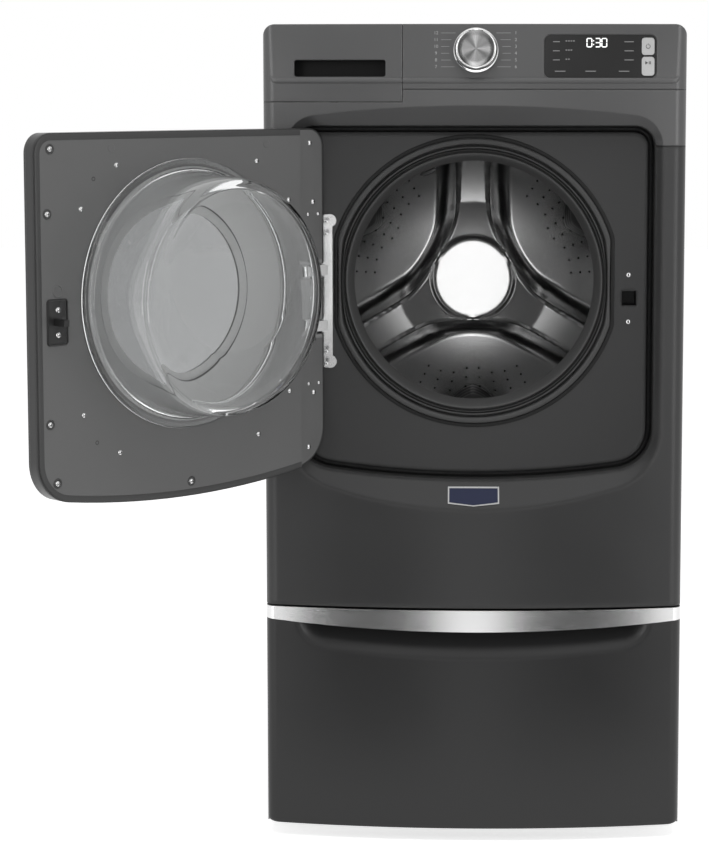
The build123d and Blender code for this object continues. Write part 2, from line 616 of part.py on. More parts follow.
fascia_inside = leaning_block(SKIN, SIDE_FRONT_Y + SKIN) \
    + bowed_block(FASCIA_BOTTOM - SKIN, FACE_BOTTOM, SKIN, SIDE_FRONT_Y + SKIN) - bevel_back
with BuildPart() as fascia:
    add(leaning_block(0, SIDE_FRONT_Y))
    add(bowed_block(FASCIA_BOTTOM, FACE_BOTTOM, 0, SIDE_FRONT_Y))
    add(bevel_room, mode=Mode.SUBTRACT)
    add(fascia_inside, mode=Mode.SUBTRACT)
    add(prism(pocket_outline(-SHEET - SEAM), LIP_Y - SEAM, SIDE_FRONT_Y + SKIN), mode=Mode.SUBTRACT)
    with BuildSketch(upright(SIDE_FRONT_Y + SKIN)):
        with Locations((0, TOP - WIDTH / 2)):
            RectangleRounded(WIDTH, WIDTH, TOP_CORNER_R)
    extrude(amount=FRONT_NOSE * 2, mode=Mode.INTERSECT)
    add(dispenser_zone, mode=Mode.SUBTRACT)
    add(display_hole, mode=Mode.SUBTRACT)
    seam_top = TOP - SEAM_DROP + GROOVE
    add(bowed_block(TOP - SEAM_DROP, seam_top, -SKIN, SIDE_FRONT_Y)
        - bowed_block(TOP - SEAM_DROP - SKIN, seam_top + SKIN, GROOVE, SIDE_FRONT_Y + SKIN), mode=Mode.SUBTRACT)
    with BuildSketch(KNOB_PLANE):
        Circle(KNOB_SHAFT_R + 2 * RUNNING)
    extrude(amount=FRONT_NOSE, both=True, mode=Mode.SUBTRACT)
fascia.part.label = "fascia"
export_step(fascia.part, "parts/fascia.step")

with BuildPart() as display_window:
    add(face_slice(rounded_window(DISPLAY_X, DISPLAY_Z, DISPLAY_R), FIT, SKIN))
    add(prism(rounded_window(BUTTON_X, POWER_Z, BUTTON_R, FIT), FRONT_Y - SKIN, SIDE_FRONT_Y), mode=Mode.SUBTRACT)
    add(prism(rounded_window(BUTTON_X, START_Z, BUTTON_R, FIT), FRONT_Y - SKIN, SIDE_FRONT_Y), mode=Mode.SUBTRACT)
display_window.part.label = "display_window"
export_step(display_window.part, "parts/display_window.step")

with BuildPart() as power_button:
    add(face_slice(rounded_window(BUTTON_X, POWER_Z, BUTTON_R), -BUTTON_PROUD, BUTTON_THICK))
power_button.part.label = "power_button"
export_step(power_button.part, "parts/power_button.step")

with BuildPart() as start_button:
    add(face_slice(rounded_window(BUTTON_X, START_Z, BUTTON_R), -BUTTON_PROUD, BUTTON_THICK))
start_button.part.label = "start_button"
export_step(start_button.part, "parts/start_button.step")

with BuildPart() as cycle_knob:
    with BuildSketch(KNOB_PLANE.offset(KNOB_LENGTH / 3)):
        Circle(KNOB_R)
    extrude(amount=KNOB_LENGTH * 2 / 3, taper=2)
    fillet(cycle_knob.edges().group_by(Axis(KNOB_PLANE.origin, KNOB_PLANE.z_dir))[-1], 1.5)
    with BuildSketch(KNOB_PLANE.offset(-SKIN * 4)):
        Circle(KNOB_SHAFT_R)
    extrude(amount=SKIN * 4 + KNOB_LENGTH / 3)
cycle_knob.part.label = "cycle_knob"
export_step(cycle_knob.part, "parts/cycle_knob.step")

with BuildPart() as knob_ring:
    with BuildSketch(KNOB_PLANE.offset(FIT + FIT)):
        Circle(KNOB_SKIRT_R)
        Circle(KNOB_SHAFT_R, mode=Mode.SUBTRACT)
    extrude(amount=KNOB_LENGTH / 3 - FIT - FIT)
knob_ring.part.label = "knob_ring"
export_step(knob_ring.part, "parts/knob_ring.step")

# ---- Detergent dispenser ---------------------------------------------------------
SLOT_INSET = 52.0
SLOT_WIDTH = 148.0
SLOT_X = (SLOT_INSET - HALF, SLOT_INSET + SLOT_WIDTH - HALF)
SLOT_Z = (TOP - 84.5, TOP - 57.5)
SLOT_R = 4.0
SLOT_DEPTH = 22.0
SLOT_WALL = 2.0
HOUSING_INSET = 11.0
HOUSING_GAP = 3.6
HOUSING_X = (HOUSING_INSET - HALF, DISPENSER_EDGE_X - HOUSING_GAP)
HOUSING_Z = (DISPENSER_BOTTOM + 5.0, TOP - 22.0)
HOUSING_BACK_Y = -120.0
TRAY_GAP = 3.0
TRAY_HEIGHT = 70.0
WEB_SIDE = 6.0
WEB_THICK = 8.0
WEB_HEIGHT = 50.0
CUP_LENGTH = 90.0

with BuildPart() as dispenser_front:
    add(console_body.part)
    add(bowed_block(TOP - CONSOLE_HEIGHT - GROOVE, FACE_BOTTOM, 0, SIDE_FRONT_Y)
        - bowed_block(FASCIA_BOTTOM, TOP, SKIN, SIDE_FRONT_Y + SKIN))
    add(box_between((-WIDTH, FRONT_Y - SKIN, DISPENSER_BOTTOM + SEAM),
                    (DISPENSER_EDGE_X - SEAM, SIDE_FRONT_Y - SEAM, TOP + SKIN)), mode=Mode.INTERSECT)
    add(face_slice(rounded_window(SLOT_X, SLOT_Z, SLOT_R, SLOT_WALL), 0, SLOT_DEPTH + SLOT_WALL))
    add(face_slice(rounded_window(SLOT_X, SLOT_Z, SLOT_R), -SKIN, SLOT_DEPTH), mode=Mode.SUBTRACT)
    for web_x in (HOUSING_X[0] + WEB_SIDE, HOUSING_X[1] - WEB_SIDE - WEB_THICK):
        web = box_between((web_x, FRONT_Y, HOUSING_Z[0] + 2 * SLOT_WALL),
                          (web_x + WEB_THICK, SIDE_FRONT_Y - SEAM, HOUSING_Z[0] + 2 * SLOT_WALL + WEB_HEIGHT))
        add(web & (leaning_block(SHEET, SIDE_FRONT_Y) + bowed_block(FASCIA_BOTTOM, FACE_BOTTOM, SHEET, SIDE_FRONT_Y)))
dispenser_front.part.label = "dispenser_front"
export_step(dispenser_front.part, "parts/dispenser_front.step")

with BuildPart() as dispenser_housing:
    add(box_between((HOUSING_X[0], SIDE_FRONT_Y + FIT, HOUSING_Z[0]), (HOUSING_X[1], HOUSING_BACK_Y, HOUSING_Z[1])))
    add(box_between((HOUSING_X[0] + SLOT_WALL, SIDE_FRONT_Y - SKIN, HOUSING_Z[0] + SLOT_WALL),
                    (HOUSING_X[1] - SLOT_WALL, HOUSING_BACK_Y - SLOT_WALL, HOUSING_Z[1] - SLOT_WALL)),
        mode=Mode.SUBTRACT)
dispenser_housing.part.label = "dispenser_housing"
export_step(dispenser_housing.part, "parts/dispenser_housing.step")

tray_x = (HOUSING_X[0] + SLOT_WALL + FIT, HOUSING_X[1] - SLOT_WALL - FIT)
tray_z = (HOUSING_Z[0] + SLOT_WALL + FIT, HOUSING_Z[0] + SLOT_WALL + FIT + TRAY_HEIGHT)
tray_back = HOUSING_BACK_Y - SLOT_WALL - TRAY_GAP * 4
tray_middle = (tray_x[0] + tray_x[1]) / 2

with BuildPart() as dispenser_tray:
    add(box_between((tray_x[0], SIDE_FRONT_Y - SEAM, tray_z[0]), (tray_x[1], tray_back, tray_z[1])))
    for left, right in ((tray_x[0] + SLOT_WALL, tray_middle - SLOT_WALL / 2),
                        (tray_middle + SLOT_WALL / 2, tray_x[1] - SLOT_WALL)):
        add(box_between((left, SIDE_FRONT_Y + SLOT_WALL, tray_z[0] + SLOT_WALL),
                        (right, tray_back - SLOT_WALL, tray_z[1] + SLOT_WALL)), mode=Mode.SUBTRACT)
dispenser_tray.part.label = "dispenser_tray"
export_step(dispenser_tray.part, "parts/dispenser_tray.step")

cup_x = (tray_middle + SLOT_WALL / 2 + FIT, tray_x[1] - SLOT_WALL - FIT)
cup_y = (tray_back - SLOT_WALL - FIT - CUP_LENGTH, tray_back - SLOT_WALL - FIT)
with BuildPart() as softener_cup:
    add(box_between((cup_x[0], cup_y[0], tray_z[0] + SLOT_WALL), (cup_x[1], cup_y[1], tray_z[1])))
    add(box_between((cup_x[0] + SLOT_WALL, cup_y[0] + SLOT_WALL, tray_z[0] + 2 * SLOT_WALL),
                    (cup_x[1] - SLOT_WALL, cup_y[1] - SLOT_WALL, tray_z[1] + SLOT_WALL)), mode=Mode.SUBTRACT)
softener_cup.part.label = "softener_cup"
export_step(softener_cup.part, "parts/softener_cup.step")

# ---- Badge plate, left bare ---------------------------------------------------------
BADGE_WIDTH = 84.0
BADGE_HEIGHT = 29.0
BADGE_POINT = 4.0
BADGE_THICK = 2.0
BADGE_DROP = 25.0
badge_z = POCKET_BOTTOM - BADGE_DROP
with BuildPart() as badge_plate:
    with BuildSketch(upright(SIDE_FRONT_Y)):
        with BuildLine():
            Polyline((-BADGE_WIDTH / 2, badge_z + BADGE_HEIGHT / 2), (BADGE_WIDTH / 2, badge_z + BADGE_HEIGHT / 2),
                     (BADGE_WIDTH / 2, badge_z + BADGE_POINT - BADGE_HEIGHT / 2), (0, badge_z - BADGE_HEIGHT / 2),
                     (-BADGE_WIDTH / 2, badge_z + BADGE_POINT - BADGE_HEIGHT / 2), close=True)
        make_face()
    extrude(amount=FRONT_NOSE * 2)
    add(bevel_room - bevel_block(-BADGE_THICK), mode=Mode.INTERSECT)
badge_plate.part.label = "badge_plate"
export_step(badge_plate.part, "parts/badge_plate.step")

# ---- Door shells, made closed -----------------------------------------------------
WINDOW_CLEAR_R = 131.0
WINDOW_LAP = 12.0
WINDOW_THICK = 3.0
EDGE_FIT = 0.3
SLOT_SIDE = 3.0
RETAINER_R = 262.0
BOWL_SEAT_R = 197.0
BOWL_LIP = 12.0
BOWL_RIM_R = BOWL_SEAT_R + BOWL_LIP
FUNNEL_DEPTH = 36.0
STEP_X = -DOOR_HALF + HINGE_STEP_WIDTH
STEP_Y = DOOR_INNER_Y - HINGE_STEP
ARM_REACH = 14.0

window_disc_r = WINDOW_CLEAR_R + WINDOW_LAP


def door_circle(radius):
    """Upright disc about the porthole centre."""
    with BuildSketch(mode=Mode.PRIVATE) as disc:
        with Locations((0, PORT_Z)):
            Circle(radius)
    return disc.sketch


with BuildPart() as arm_slots:
    for z in ARM_Z:
        half_height = ARM_HEIGHT / 2 + SLOT_SIDE
        add(box_between((-HALF, HINGE_Y - ARM_THICK, z - half_height),
                        (HINGE_X + ARM_REACH, SIDE_FRONT_Y, z + half_height)))

with BuildPart() as outer_closed:
    add(prism(door_face(0), FRONT_Y - SKIN, DOOR_INNER_Y))
    add(bowed_block(WASHER_BOTTOM, TOP, 0, SIDE_FRONT_Y), mode=Mode.INTERSECT)
    inside = prism(door_face(DOOR_SKIN), FRONT_Y - SKIN, DOOR_INNER_Y + SKIN)
    add(inside & bowed_block(WASHER_BOTTOM, TOP, DOOR_SKIN, SIDE_FRONT_Y + SKIN), mode=Mode.SUBTRACT)
    add(prism(door_circle(WINDOW_CLEAR_R), FRONT_Y - SKIN, DOOR_INNER_Y), mode=Mode.SUBTRACT)
    add(box_between((-HALF, STEP_Y, WASHER_BOTTOM), (STEP_X, SIDE_FRONT_Y, TOP)), mode=Mode.SUBTRACT)
    add(arm_slots.part, mode=Mode.SUBTRACT)
door_outer_panel = swung_open(outer_closed.part)
door_outer_panel.label = "door_outer_panel"
export_step(door_outer_panel, "parts/door_outer_panel.step")

with BuildPart() as inner_closed:
    panel_outline = door_face(DOOR_SKIN + EDGE_FIT)
    add(prism(panel_outline, DOOR_INNER_Y - DOOR_PANEL, DOOR_INNER_Y))
    add(box_between((-HALF, FRONT_Y, WASHER_BOTTOM), (STEP_X, SIDE_FRONT_Y, TOP)), mode=Mode.SUBTRACT)
    step_plate = prism(panel_outline, STEP_Y - DOOR_PANEL, STEP_Y)
    add(step_plate & box_between((-HALF, FRONT_Y, WASHER_BOTTOM), (STEP_X + DOOR_PANEL, SIDE_FRONT_Y, TOP)))
    step_wall = prism(panel_outline, STEP_Y - DOOR_PANEL, DOOR_INNER_Y)
    add(step_wall & box_between((STEP_X, FRONT_Y, WASHER_BOTTOM), (STEP_X + DOOR_PANEL, SIDE_FRONT_Y, TOP)))
    add(prism(door_circle(BOWL_SEAT_R), FRONT_Y, SIDE_FRONT_Y), mode=Mode.SUBTRACT)
    add(arm_slots.part, mode=Mode.SUBTRACT)
door_inner_panel = swung_open(inner_closed.part)
door_inner_panel.label = "door_inner_panel"
export_step(door_inner_panel, "parts/door_inner_panel.step")

# The glass bowl: a flange that seats on the inner panel, a cone and a domed end.
face_along = DOOR_INNER_Y - FLOOR_Y
BOWL_PROFILE = [(face_along - DOOR_PANEL, BOWL_SEAT_R), (face_along, BOWL_SEAT_R), (face_along, BOWL_RIM_R),
                (face_along + 3, BOWL_RIM_R), (face_along + 6, BOWL_RIM_R - 4), (face_along + 8, BOWL_SEAT_R),
                (face_along + 40, BOWL_SEAT_R - 9), (face_along + 84, BOWL_SEAT_R - 17),
                (face_along + 92, BOWL_SEAT_R - 23), (face_along + 108, BOWL_SEAT_R - 67),
                (face_along + 114, BOWL_SEAT_R - 127), (face_along + 116, 0.0)]
BOWL_INSIDE = [(face_along + 111, 0.0), (face_along + 109, BOWL_SEAT_R - 127),
               (face_along + 103, BOWL_SEAT_R - 69), (face_along + 88, BOWL_SEAT_R - 29),
               (face_along + 82, BOWL_SEAT_R - 22.5), (face_along + 38, BOWL_SEAT_R - 14),
               (face_along - DOOR_PANEL, BOWL_SEAT_R - 6)]
bowl_closed = turned(BOWL_PROFILE + BOWL_INSIDE, PORT_SECTION, PORT_AXIS)
door_bowl = swung_open(bowl_closed)
door_bowl.label = "door_bowl"
export_step(door_bowl, "parts/door_bowl.step")

retainer_back = face_along - DOOR_PANEL - FIT
RETAINER_PROFILE = [(retainer_back, BOWL_SEAT_R - 6), (retainer_back, RETAINER_R), (retainer_back - 4, RETAINER_R),
                    (retainer_back - 4, BOWL_SEAT_R + 3), (retainer_back - FUNNEL_DEPTH + 6, window_disc_r + 6),
                    (retainer_back - FUNNEL_DEPTH + 6, window_disc_r + 2), (retainer_back - 4, BOWL_SEAT_R - 6)]
retainer_closed = turned(RETAINER_PROFILE, PORT_SECTION, PORT_AXIS)
step_clear = box_between((-HALF, FRONT_Y, WASHER_BOTTOM), (STEP_X + DOOR_PANEL + FIT, SIDE_FRONT_Y, TOP))
retainer_closed = retainer_closed & prism(door_face(DOOR_SKIN + EDGE_FIT), FRONT_Y, SIDE_FRONT_Y)
bowl_retainer = swung_open(retainer_closed - step_clear)
bowl_retainer.label = "bowl_retainer"
export_step(bowl_retainer, "parts/bowl_retainer.step")

window_closed = (bowed_block(WASHER_BOTTOM, TOP, DOOR_SKIN, SIDE_FRONT_Y)
                 - bowed_block(0, TOP + SKIN, DOOR_SKIN + WINDOW_THICK, SIDE_FRONT_Y + SKIN))
window_closed = window_closed & prism(door_circle(window_disc_r), FRONT_Y, SIDE_FRONT_Y)
door_window = swung_open(window_closed)
door_window.label = "door_window"
export_step(door_window, "parts/door_window.step")

# ---- Hinge: fixed bracket with two goose-neck arms, leaf and pins in the door ---------
BRACKET_X = (-250.0, -232.0)
BRACKET_HALF = 126.0
BRACKET_THICK = 2.5
BRACKET_FLARE = 8.0
BRACKET_DROP = 16.0
BRACKET_SCREWS = (116.0, 96.0)
LEAF_X = (-262.0, -238.0)
LEAF_THICK = 2.5
EAR_THICK = 4.0
EAR_GAP = 0.3

bracket_z = PORT_Z - BRACKET_DROP
bracket_y = FLOOR_Y - BRACKET_THICK
bracket_mid = (BRACKET_X[0] + BRACKET_X[1]) / 2
arm_foot = Vector(bracket_mid, FLOOR_Y - ARM_SEAT)
arm_way = (arm_foot - Vector(HINGE_X, HINGE_Y)).normalized()
arm_side = Vector(-arm_way.Y, arm_way.X) * (ARM_THICK / 2)

with BuildPart() as hinge_bracket:
    with BuildSketch(upright(FLOOR_Y)):
        with Locations((bracket_mid, bracket_z)):
            RectangleRounded(BRACKET_X[1] - BRACKET_X[0], 2 * BRACKET_HALF, BRACKET_FLARE)
        with Locations((BRACKET_X[1] - BRACKET_FLARE / 2, bracket_z + BRACKET_SCREWS[0]),
                       (BRACKET_X[1] - BRACKET_FLARE / 2, bracket_z - BRACKET_SCREWS[0])):
            Circle(BRACKET_FLARE + BRACKET_THICK)
    extrude(amount=BRACKET_THICK)
    for z in ARM_Z:
        with BuildSketch(Plane.XY.offset(z - ARM_HEIGHT / 2)):
            with BuildLine():
                Polyline((HINGE_X - arm_side.X, HINGE_Y - arm_side.Y), (arm_foot.X - arm_side.X, arm_foot.Y - arm_side.Y),
                         (arm_foot.X + arm_side.X, arm_foot.Y + arm_side.Y),
                         (HINGE_X + arm_side.X, HINGE_Y + arm_side.Y), close=True)
            make_face()
            with Locations((HINGE_X, HINGE_Y)):
                Circle(BARREL_R)
                Circle(PIN_R + RUNNING, mode=Mode.SUBTRACT)
        extrude(amount=ARM_HEIGHT)
hinge_bracket.part.label = "hinge_bracket"
export_step(hinge_bracket.part, "parts/hinge_bracket.step")

leaf_y = front_y(LEAF_X[0]) + DOOR_SKIN + FIT
ear_y = front_y(HINGE_X - PIN_R * 2) + DOOR_SKIN + 2 * FIT
with BuildPart() as leaf_closed:
    leaf_low = ARM_Z[0] - ARM_HEIGHT
    leaf_high = ARM_Z[1] + ARM_HEIGHT
    add(box_between((LEAF_X[0], leaf_y, leaf_low), (LEAF_X[1], leaf_y + LEAF_THICK, leaf_high)))
    for z in ARM_Z:
        for ear_z in (z - ARM_HEIGHT / 2 - EAR_GAP - EAR_THICK, z + ARM_HEIGHT / 2 + EAR_GAP):
            add(box_between((HINGE_X - PIN_R * 2, ear_y, ear_z),
                            (LEAF_X[1], STEP_Y - DOOR_PANEL - FIT, ear_z + EAR_THICK)))
            with Locations((HINGE_X, HINGE_Y, ear_z)):
                Cylinder(PIN_R, EAR_THICK * 3, mode=Mode.SUBTRACT)
hinge_leaf = swung_open(leaf_closed.part)
hinge_leaf.label = "hinge_leaf"
export_step(hinge_leaf, "parts/hinge_leaf.step")

with BuildPart() as hinge_pins:
    for z in ARM_Z:
        with Locations((HINGE_X, HINGE_Y, z)):
            Cylinder(PIN_R, ARM_HEIGHT + 2 * (EAR_GAP + EAR_THICK))
hinge_pins.part.label = "hinge_pins"
export_step(hinge_pins.part, "parts/hinge_pins.step")

# ---- Strike hook and the door's screws --------------------------------------------
STRIKE_W = 33.0
STRIKE_H = 64.0
STRIKE_THICK = 2.0
HOOK_W = 9.0
HOOK_H = 10.0
HOOK_REACH = 26.0
HOOK_NOTCH = 5.0
SCREW_R = 5.0
SCREW_HEAD = 2.5
SMALL_SCREW_R = 3.2
RING_DROP = 16.0
RING_SCREWS = ((139.0, 217.5), (206.0, 154.0))
EDGE_SCREWS = ((261.0, 1155.6), (267.5, 1060.5), (267.5, 749.5), (256.0, 660.4))
LOW_SCREW_Z = 634.5
HINGE_SMALL = ((-257.0, 1040.5), (-279.0, 1040.5), (-257.0, 764.0), (-279.0, 764.0), (-272.0, 903.0))

with BuildPart() as strike_closed:
    with BuildSketch(upright(DOOR_INNER_Y)):
        with Locations((LOCK_X - FIT, LOCK_Z)):
            RectangleRounded(STRIKE_W, STRIKE_H, STRIKE_THICK * 2)
    extrude(amount=-STRIKE_THICK)
    hook_x = (LOCK_X - HOOK_W / 2, LOCK_X + HOOK_W / 2)
    add(box_between((hook_x[0], DOOR_INNER_Y, LOCK_Z - HOOK_H / 2),
                    (hook_x[1], DOOR_INNER_Y + HOOK_REACH, LOCK_Z + HOOK_H / 2)))
    add(box_between((hook_x[0] - HOOK_W, DOOR_INNER_Y + HOOK_REACH - 3 * HOOK_NOTCH, LOCK_Z - HOOK_H),
                    (hook_x[0] + HOOK_NOTCH, DOOR_INNER_Y + HOOK_REACH - HOOK_NOTCH, LOCK_Z + HOOK_H)),
        mode=Mode.SUBTRACT)
strike_hook = swung_open(strike_closed.part)
strike_hook.label = "strike_hook"
export_step(strike_hook, "parts/strike_hook.step")

ring_z = PORT_Z - RING_DROP
flat_spots = [(x, z) for x, z in EDGE_SCREWS] + [(0, LOW_SCREW_Z)]
flat_spots += [(side * x, ring_z + way * z) for x, z in RING_SCREWS for side in (-1, 1) for way in (-1, 1)]
step_spots = [(-x, z) for x, z in EDGE_SCREWS]
with BuildPart() as screws_closed:
    with BuildSketch(upright(DOOR_INNER_Y)):
        with Locations(*flat_spots):
            Circle(SCREW_R)
    extrude(amount=-SCREW_HEAD)
    with BuildSketch(upright(STEP_Y)):
        with Locations(*step_spots):
            Circle(SCREW_R)
        with Locations(*HINGE_SMALL):
            Circle(SMALL_SCREW_R)
    extrude(amount=-SCREW_HEAD)
door_screws = swung_open(screws_closed.part)
door_screws.label = "door_screws"
export_step(door_screws, "parts/door_screws.step")

# ---- Door lock behind its slot, and the front's screws ---------------------------------
LOCK_W = 40.0
LOCK_H = 96.0
LOCK_DEPTH = 42.0
LOCK_WALL = 3.0
LOCK_SCREW_X = 253.0
LOCK_SCREW_OFFSET = 38.5

lock_y = FLOOR_Y + SHEET
with BuildPart() as door_lock:
    lock_x = (LOCK_X - LOCK_SLOT_W / 2 - LOCK_WALL, LOCK_X - LOCK_SLOT_W / 2 - LOCK_WALL + LOCK_W)
    add(box_between((lock_x[0], lock_y, LOCK_Z - LOCK_H / 2), (lock_x[1], lock_y + LOCK_DEPTH, LOCK_Z + LOCK_H / 2)))
    add(box_between((LOCK_X - LOCK_SLOT_W / 2, FLOOR_Y, LOCK_Z - LOCK_SLOT_H / 2),
                    (LOCK_X + LOCK_SLOT_W / 2, lock_y + LOCK_DEPTH - LOCK_WALL, LOCK_Z + LOCK_SLOT_H / 2)),
        mode=Mode.SUBTRACT)
door_lock.part.label = "door_lock"
export_step(door_lock.part, "parts/door_lock.step")

with BuildPart() as front_screws:
    with BuildSketch(upright(FLOOR_Y)):
        with Locations((LOCK_SCREW_X, LOCK_Z + LOCK_SCREW_OFFSET), (LOCK_SCREW_X, LOCK_Z - LOCK_SCREW_OFFSET)):
            Circle(SCREW_R)
    extrude(amount=SCREW_HEAD)
    with BuildSketch(upright(bracket_y)):
        for offset in BRACKET_SCREWS:
            with Locations((bracket_mid + 1, bracket_z + offset), (bracket_mid + 1, bracket_z - offset)):
                Circle(SCREW_R)
    extrude(amount=SCREW_HEAD)
front_screws.part.label = "front_screws"
export_step(front_screws.part, "parts/front_screws.step")

# ---- Porthole gasket ----------------------------------------------------------------
GASKET_WALL = 4.0
GASKET_BACK = 100.0
GASKET_BACK_R = TUB_NECK_R - GASKET_WALL
gasket_front = [(0, PORT_HOLE_R - 4), (0, GASKET_RIM_R), (-4, GASKET_RIM_R), (-6, GASKET_RIM_R - 8),
                (-6, GASKET_RIM_R - 16), (0, 217), (8, 214), (12, 207), (24, 204), (32, GASKET_MOUTH_R),
                (38, GASKET_MOUTH_R), (44, 206)]
gasket_inside = [(56, 206), (64, 213), (GASKET_BACK, GASKET_BACK_R)]
gasket_outside = [(GASKET_BACK, TUB_NECK_R), (60, 217), (54, 210), (44, 211), (36, 202), (30, 208),
                  (16, 212), (14, 219)]
gasket_ring = turned(gasket_front + gasket_inside + gasket_outside, PORT_SECTION, PORT_AXIS)
with BuildPart() as door_gasket:
    add(gasket_ring)
    for side in (-1, 1):
        flat = side * GASKET_FLAT
        wall = side * WIDTH
        add(box_between((min(flat, wall), FRONT_Y, PORT_Z - WIDTH), (max(flat, wall), FLOOR_Y, PORT_Z + WIDTH)),
            mode=Mode.SUBTRACT)
    with BuildSketch(WASH.offset(TUB_FRONT - TUB_WALL * 5)):
        Rectangle(WIDTH * 2, WIDTH * 2)
    extrude(amount=WIDTH, mode=Mode.SUBTRACT)
door_gasket.part.label = "door_gasket"
export_step(door_gasket.part, "parts/door_gasket.step")

# ---- Tub, counterweight, springs and dampers --------------------------------------------
NECK_BACK = TUB_FRONT + TUB_WALL
TUB_BACK = TUB_FRONT + TUB_LENGTH
HUB_R = 44.0
HUB_REACH = 50.0
BEARING_R = 36.0
BEARING_LENGTH = 16.0
RIB_COUNT = 12
RIB_THICK = 4.0
COUNTER_R = (236.0, 288.0)
COUNTER_DEPTH = 44.0
SPRING_X = 250.0
SPRING_ALONG = 320.0
SPRING_LIFT = 24.0
SPRING_R = 11.0
SPRING_WIRE = 1.8
SPRING_PITCH = 9.0
DAMPER_X = 190.0
DAMPER_R = 15.0
DAMPER_ROD_R = 5.0

tub_front_profile = [(TUB_FRONT - TUB_WALL * 5, TUB_NECK_R - 4), (TUB_FRONT - TUB_WALL * 5, TUB_NECK_R + 4),
                     (TUB_FRONT, TUB_NECK_R + 4), (TUB_FRONT, TUB_R + TUB_WALL), (TUB_FRONT + 40, TUB_R + TUB_WALL),
                     (TUB_FRONT + 40, TUB_R), (NECK_BACK, TUB_R), (NECK_BACK, TUB_NECK_R - 4)]
with BuildPart() as tub_front:
    add(turned(tub_front_profile, WASH_SECTION, WASH_AXIS))
tub_front.part.label = "tub_front"
export_step(tub_front.part, "parts/tub_front.step")

tub_rear_profile = [(TUB_FRONT + 40, TUB_R), (TUB_FRONT + 40, TUB_R + TUB_WALL), (TUB_BACK, TUB_R + TUB_WALL),
                    (TUB_BACK, HUB_R), (TUB_BACK + HUB_REACH, HUB_R), (TUB_BACK + HUB_REACH, BEARING_R),
                    (TUB_BACK - TUB_WALL, BEARING_R), (TUB_BACK - TUB_WALL, TUB_R)]
with BuildPart() as tub_rear:
    add(turned(tub_rear_profile, WASH_SECTION, WASH_AXIS))
    with BuildSketch(WASH.offset(TUB_BACK)):
        with PolarLocations((HUB_R - RIB_THICK + TUB_R) / 2, RIB_COUNT):
            Rectangle(TUB_R - HUB_R + RIB_THICK, RIB_THICK)
    extrude(amount=HUB_REACH / 3)
tub_rear.part.label = "tub_rear"
export_step(tub_rear.part, "parts/tub_rear.step")

with BuildPart() as counterweight:
    with BuildSketch(WASH.offset(TUB_FRONT - COUNTER_DEPTH)):
        Circle(COUNTER_R[1])
        Circle(COUNTER_R[0], mode=Mode.SUBTRACT)
    extrude(amount=COUNTER_DEPTH)
counterweight.part.label = "counterweight"
export_step(counterweight.part, "parts/counterweight.step")


def wash_point(along, up, x=0.0):
    """Point in the cabinet for a place along, above and beside the wash axis."""
    return (x, FLOOR_Y + along * math.cos(tilt) + up * math.sin(tilt),
            PORT_Z - along * math.sin(tilt) + up * math.cos(tilt))


spring_foot = wash_point(SPRING_ALONG, math.sqrt((TUB_R + TUB_WALL) ** 2 - SPRING_X ** 2))
spring_height = SIDE_TOP - SEAM - spring_foot[2] - LID_SKIRT - SPRING_LIFT
tub_cylinder = turned([(0, 0), (0, TUB_R + TUB_WALL), (WIDTH, TUB_R + TUB_WALL), (WIDTH, 0)],
                      WASH_SECTION, WASH_AXIS)
with BuildPart() as tub_springs:
    for side in (-1, 1):
        start = Vector(side * SPRING_X, spring_foot[1], spring_foot[2] + SPRING_LIFT)
        with BuildLine(Plane(origin=start)) as coil:
            Helix(SPRING_PITCH, spring_height, SPRING_R)
        with BuildSketch(Plane(origin=coil.line @ 0, z_dir=coil.line % 0)):
            Circle(SPRING_WIRE)
        sweep(path=coil.line)
        with Locations(start + Vector(SPRING_R, 0, 0)):
            Cylinder(SPRING_WIRE, SPRING_LIFT * 4, align=(Align.CENTER, Align.CENTER, Align.MAX))
        top_z = start.Z + spring_height
        add(box_between((min(side * SPRING_X - SPRING_R, side * (HALF - SHEET)), start.Y - SPRING_R, top_z - SPRING_WIRE),
                        (max(side * SPRING_X + SPRING_R, side * (HALF - SHEET)), start.Y + SPRING_R, top_z + SHEET)))
    add(tub_cylinder, mode=Mode.SUBTRACT)
tub_springs.part.label = "tub_springs"
export_step(tub_springs.part, "parts/tub_springs.step")

damper_top = wash_point(SPRING_ALONG, -math.sqrt((TUB_R + TUB_WALL) ** 2 - DAMPER_X ** 2))
with BuildPart() as tub_dampers:
    for side in (-1, 1):
        damper_floor = WASHER_BOTTOM + SHEET
        damper_middle = (damper_floor + damper_top[2]) / 2
        with Locations((side * (HALF - BASE_RAIL), damper_top[1], damper_floor)):
            Cylinder(DAMPER_R, damper_middle - damper_floor, align=(Align.CENTER, Align.CENTER, Align.MIN))
            Cylinder(DAMPER_ROD_R, damper_top[2] - damper_floor + DAMPER_R * 3,
                     align=(Align.CENTER, Align.CENTER, Align.MIN))
        add(box_between((side * (HALF - BASE_RAIL) - DAMPER_R, damper_top[1] - DAMPER_R, damper_top[2] + DAMPER_R),
                        (side * (HALF - BASE_RAIL) + DAMPER_R, damper_top[1] + DAMPER_R,
                         damper_top[2] + DAMPER_R * 3)))
    add(tub_cylinder, mode=Mode.SUBTRACT)
tub_dampers.part.label = "tub_dampers"
export_step(tub_dampers.part, "parts/tub_dampers.step")

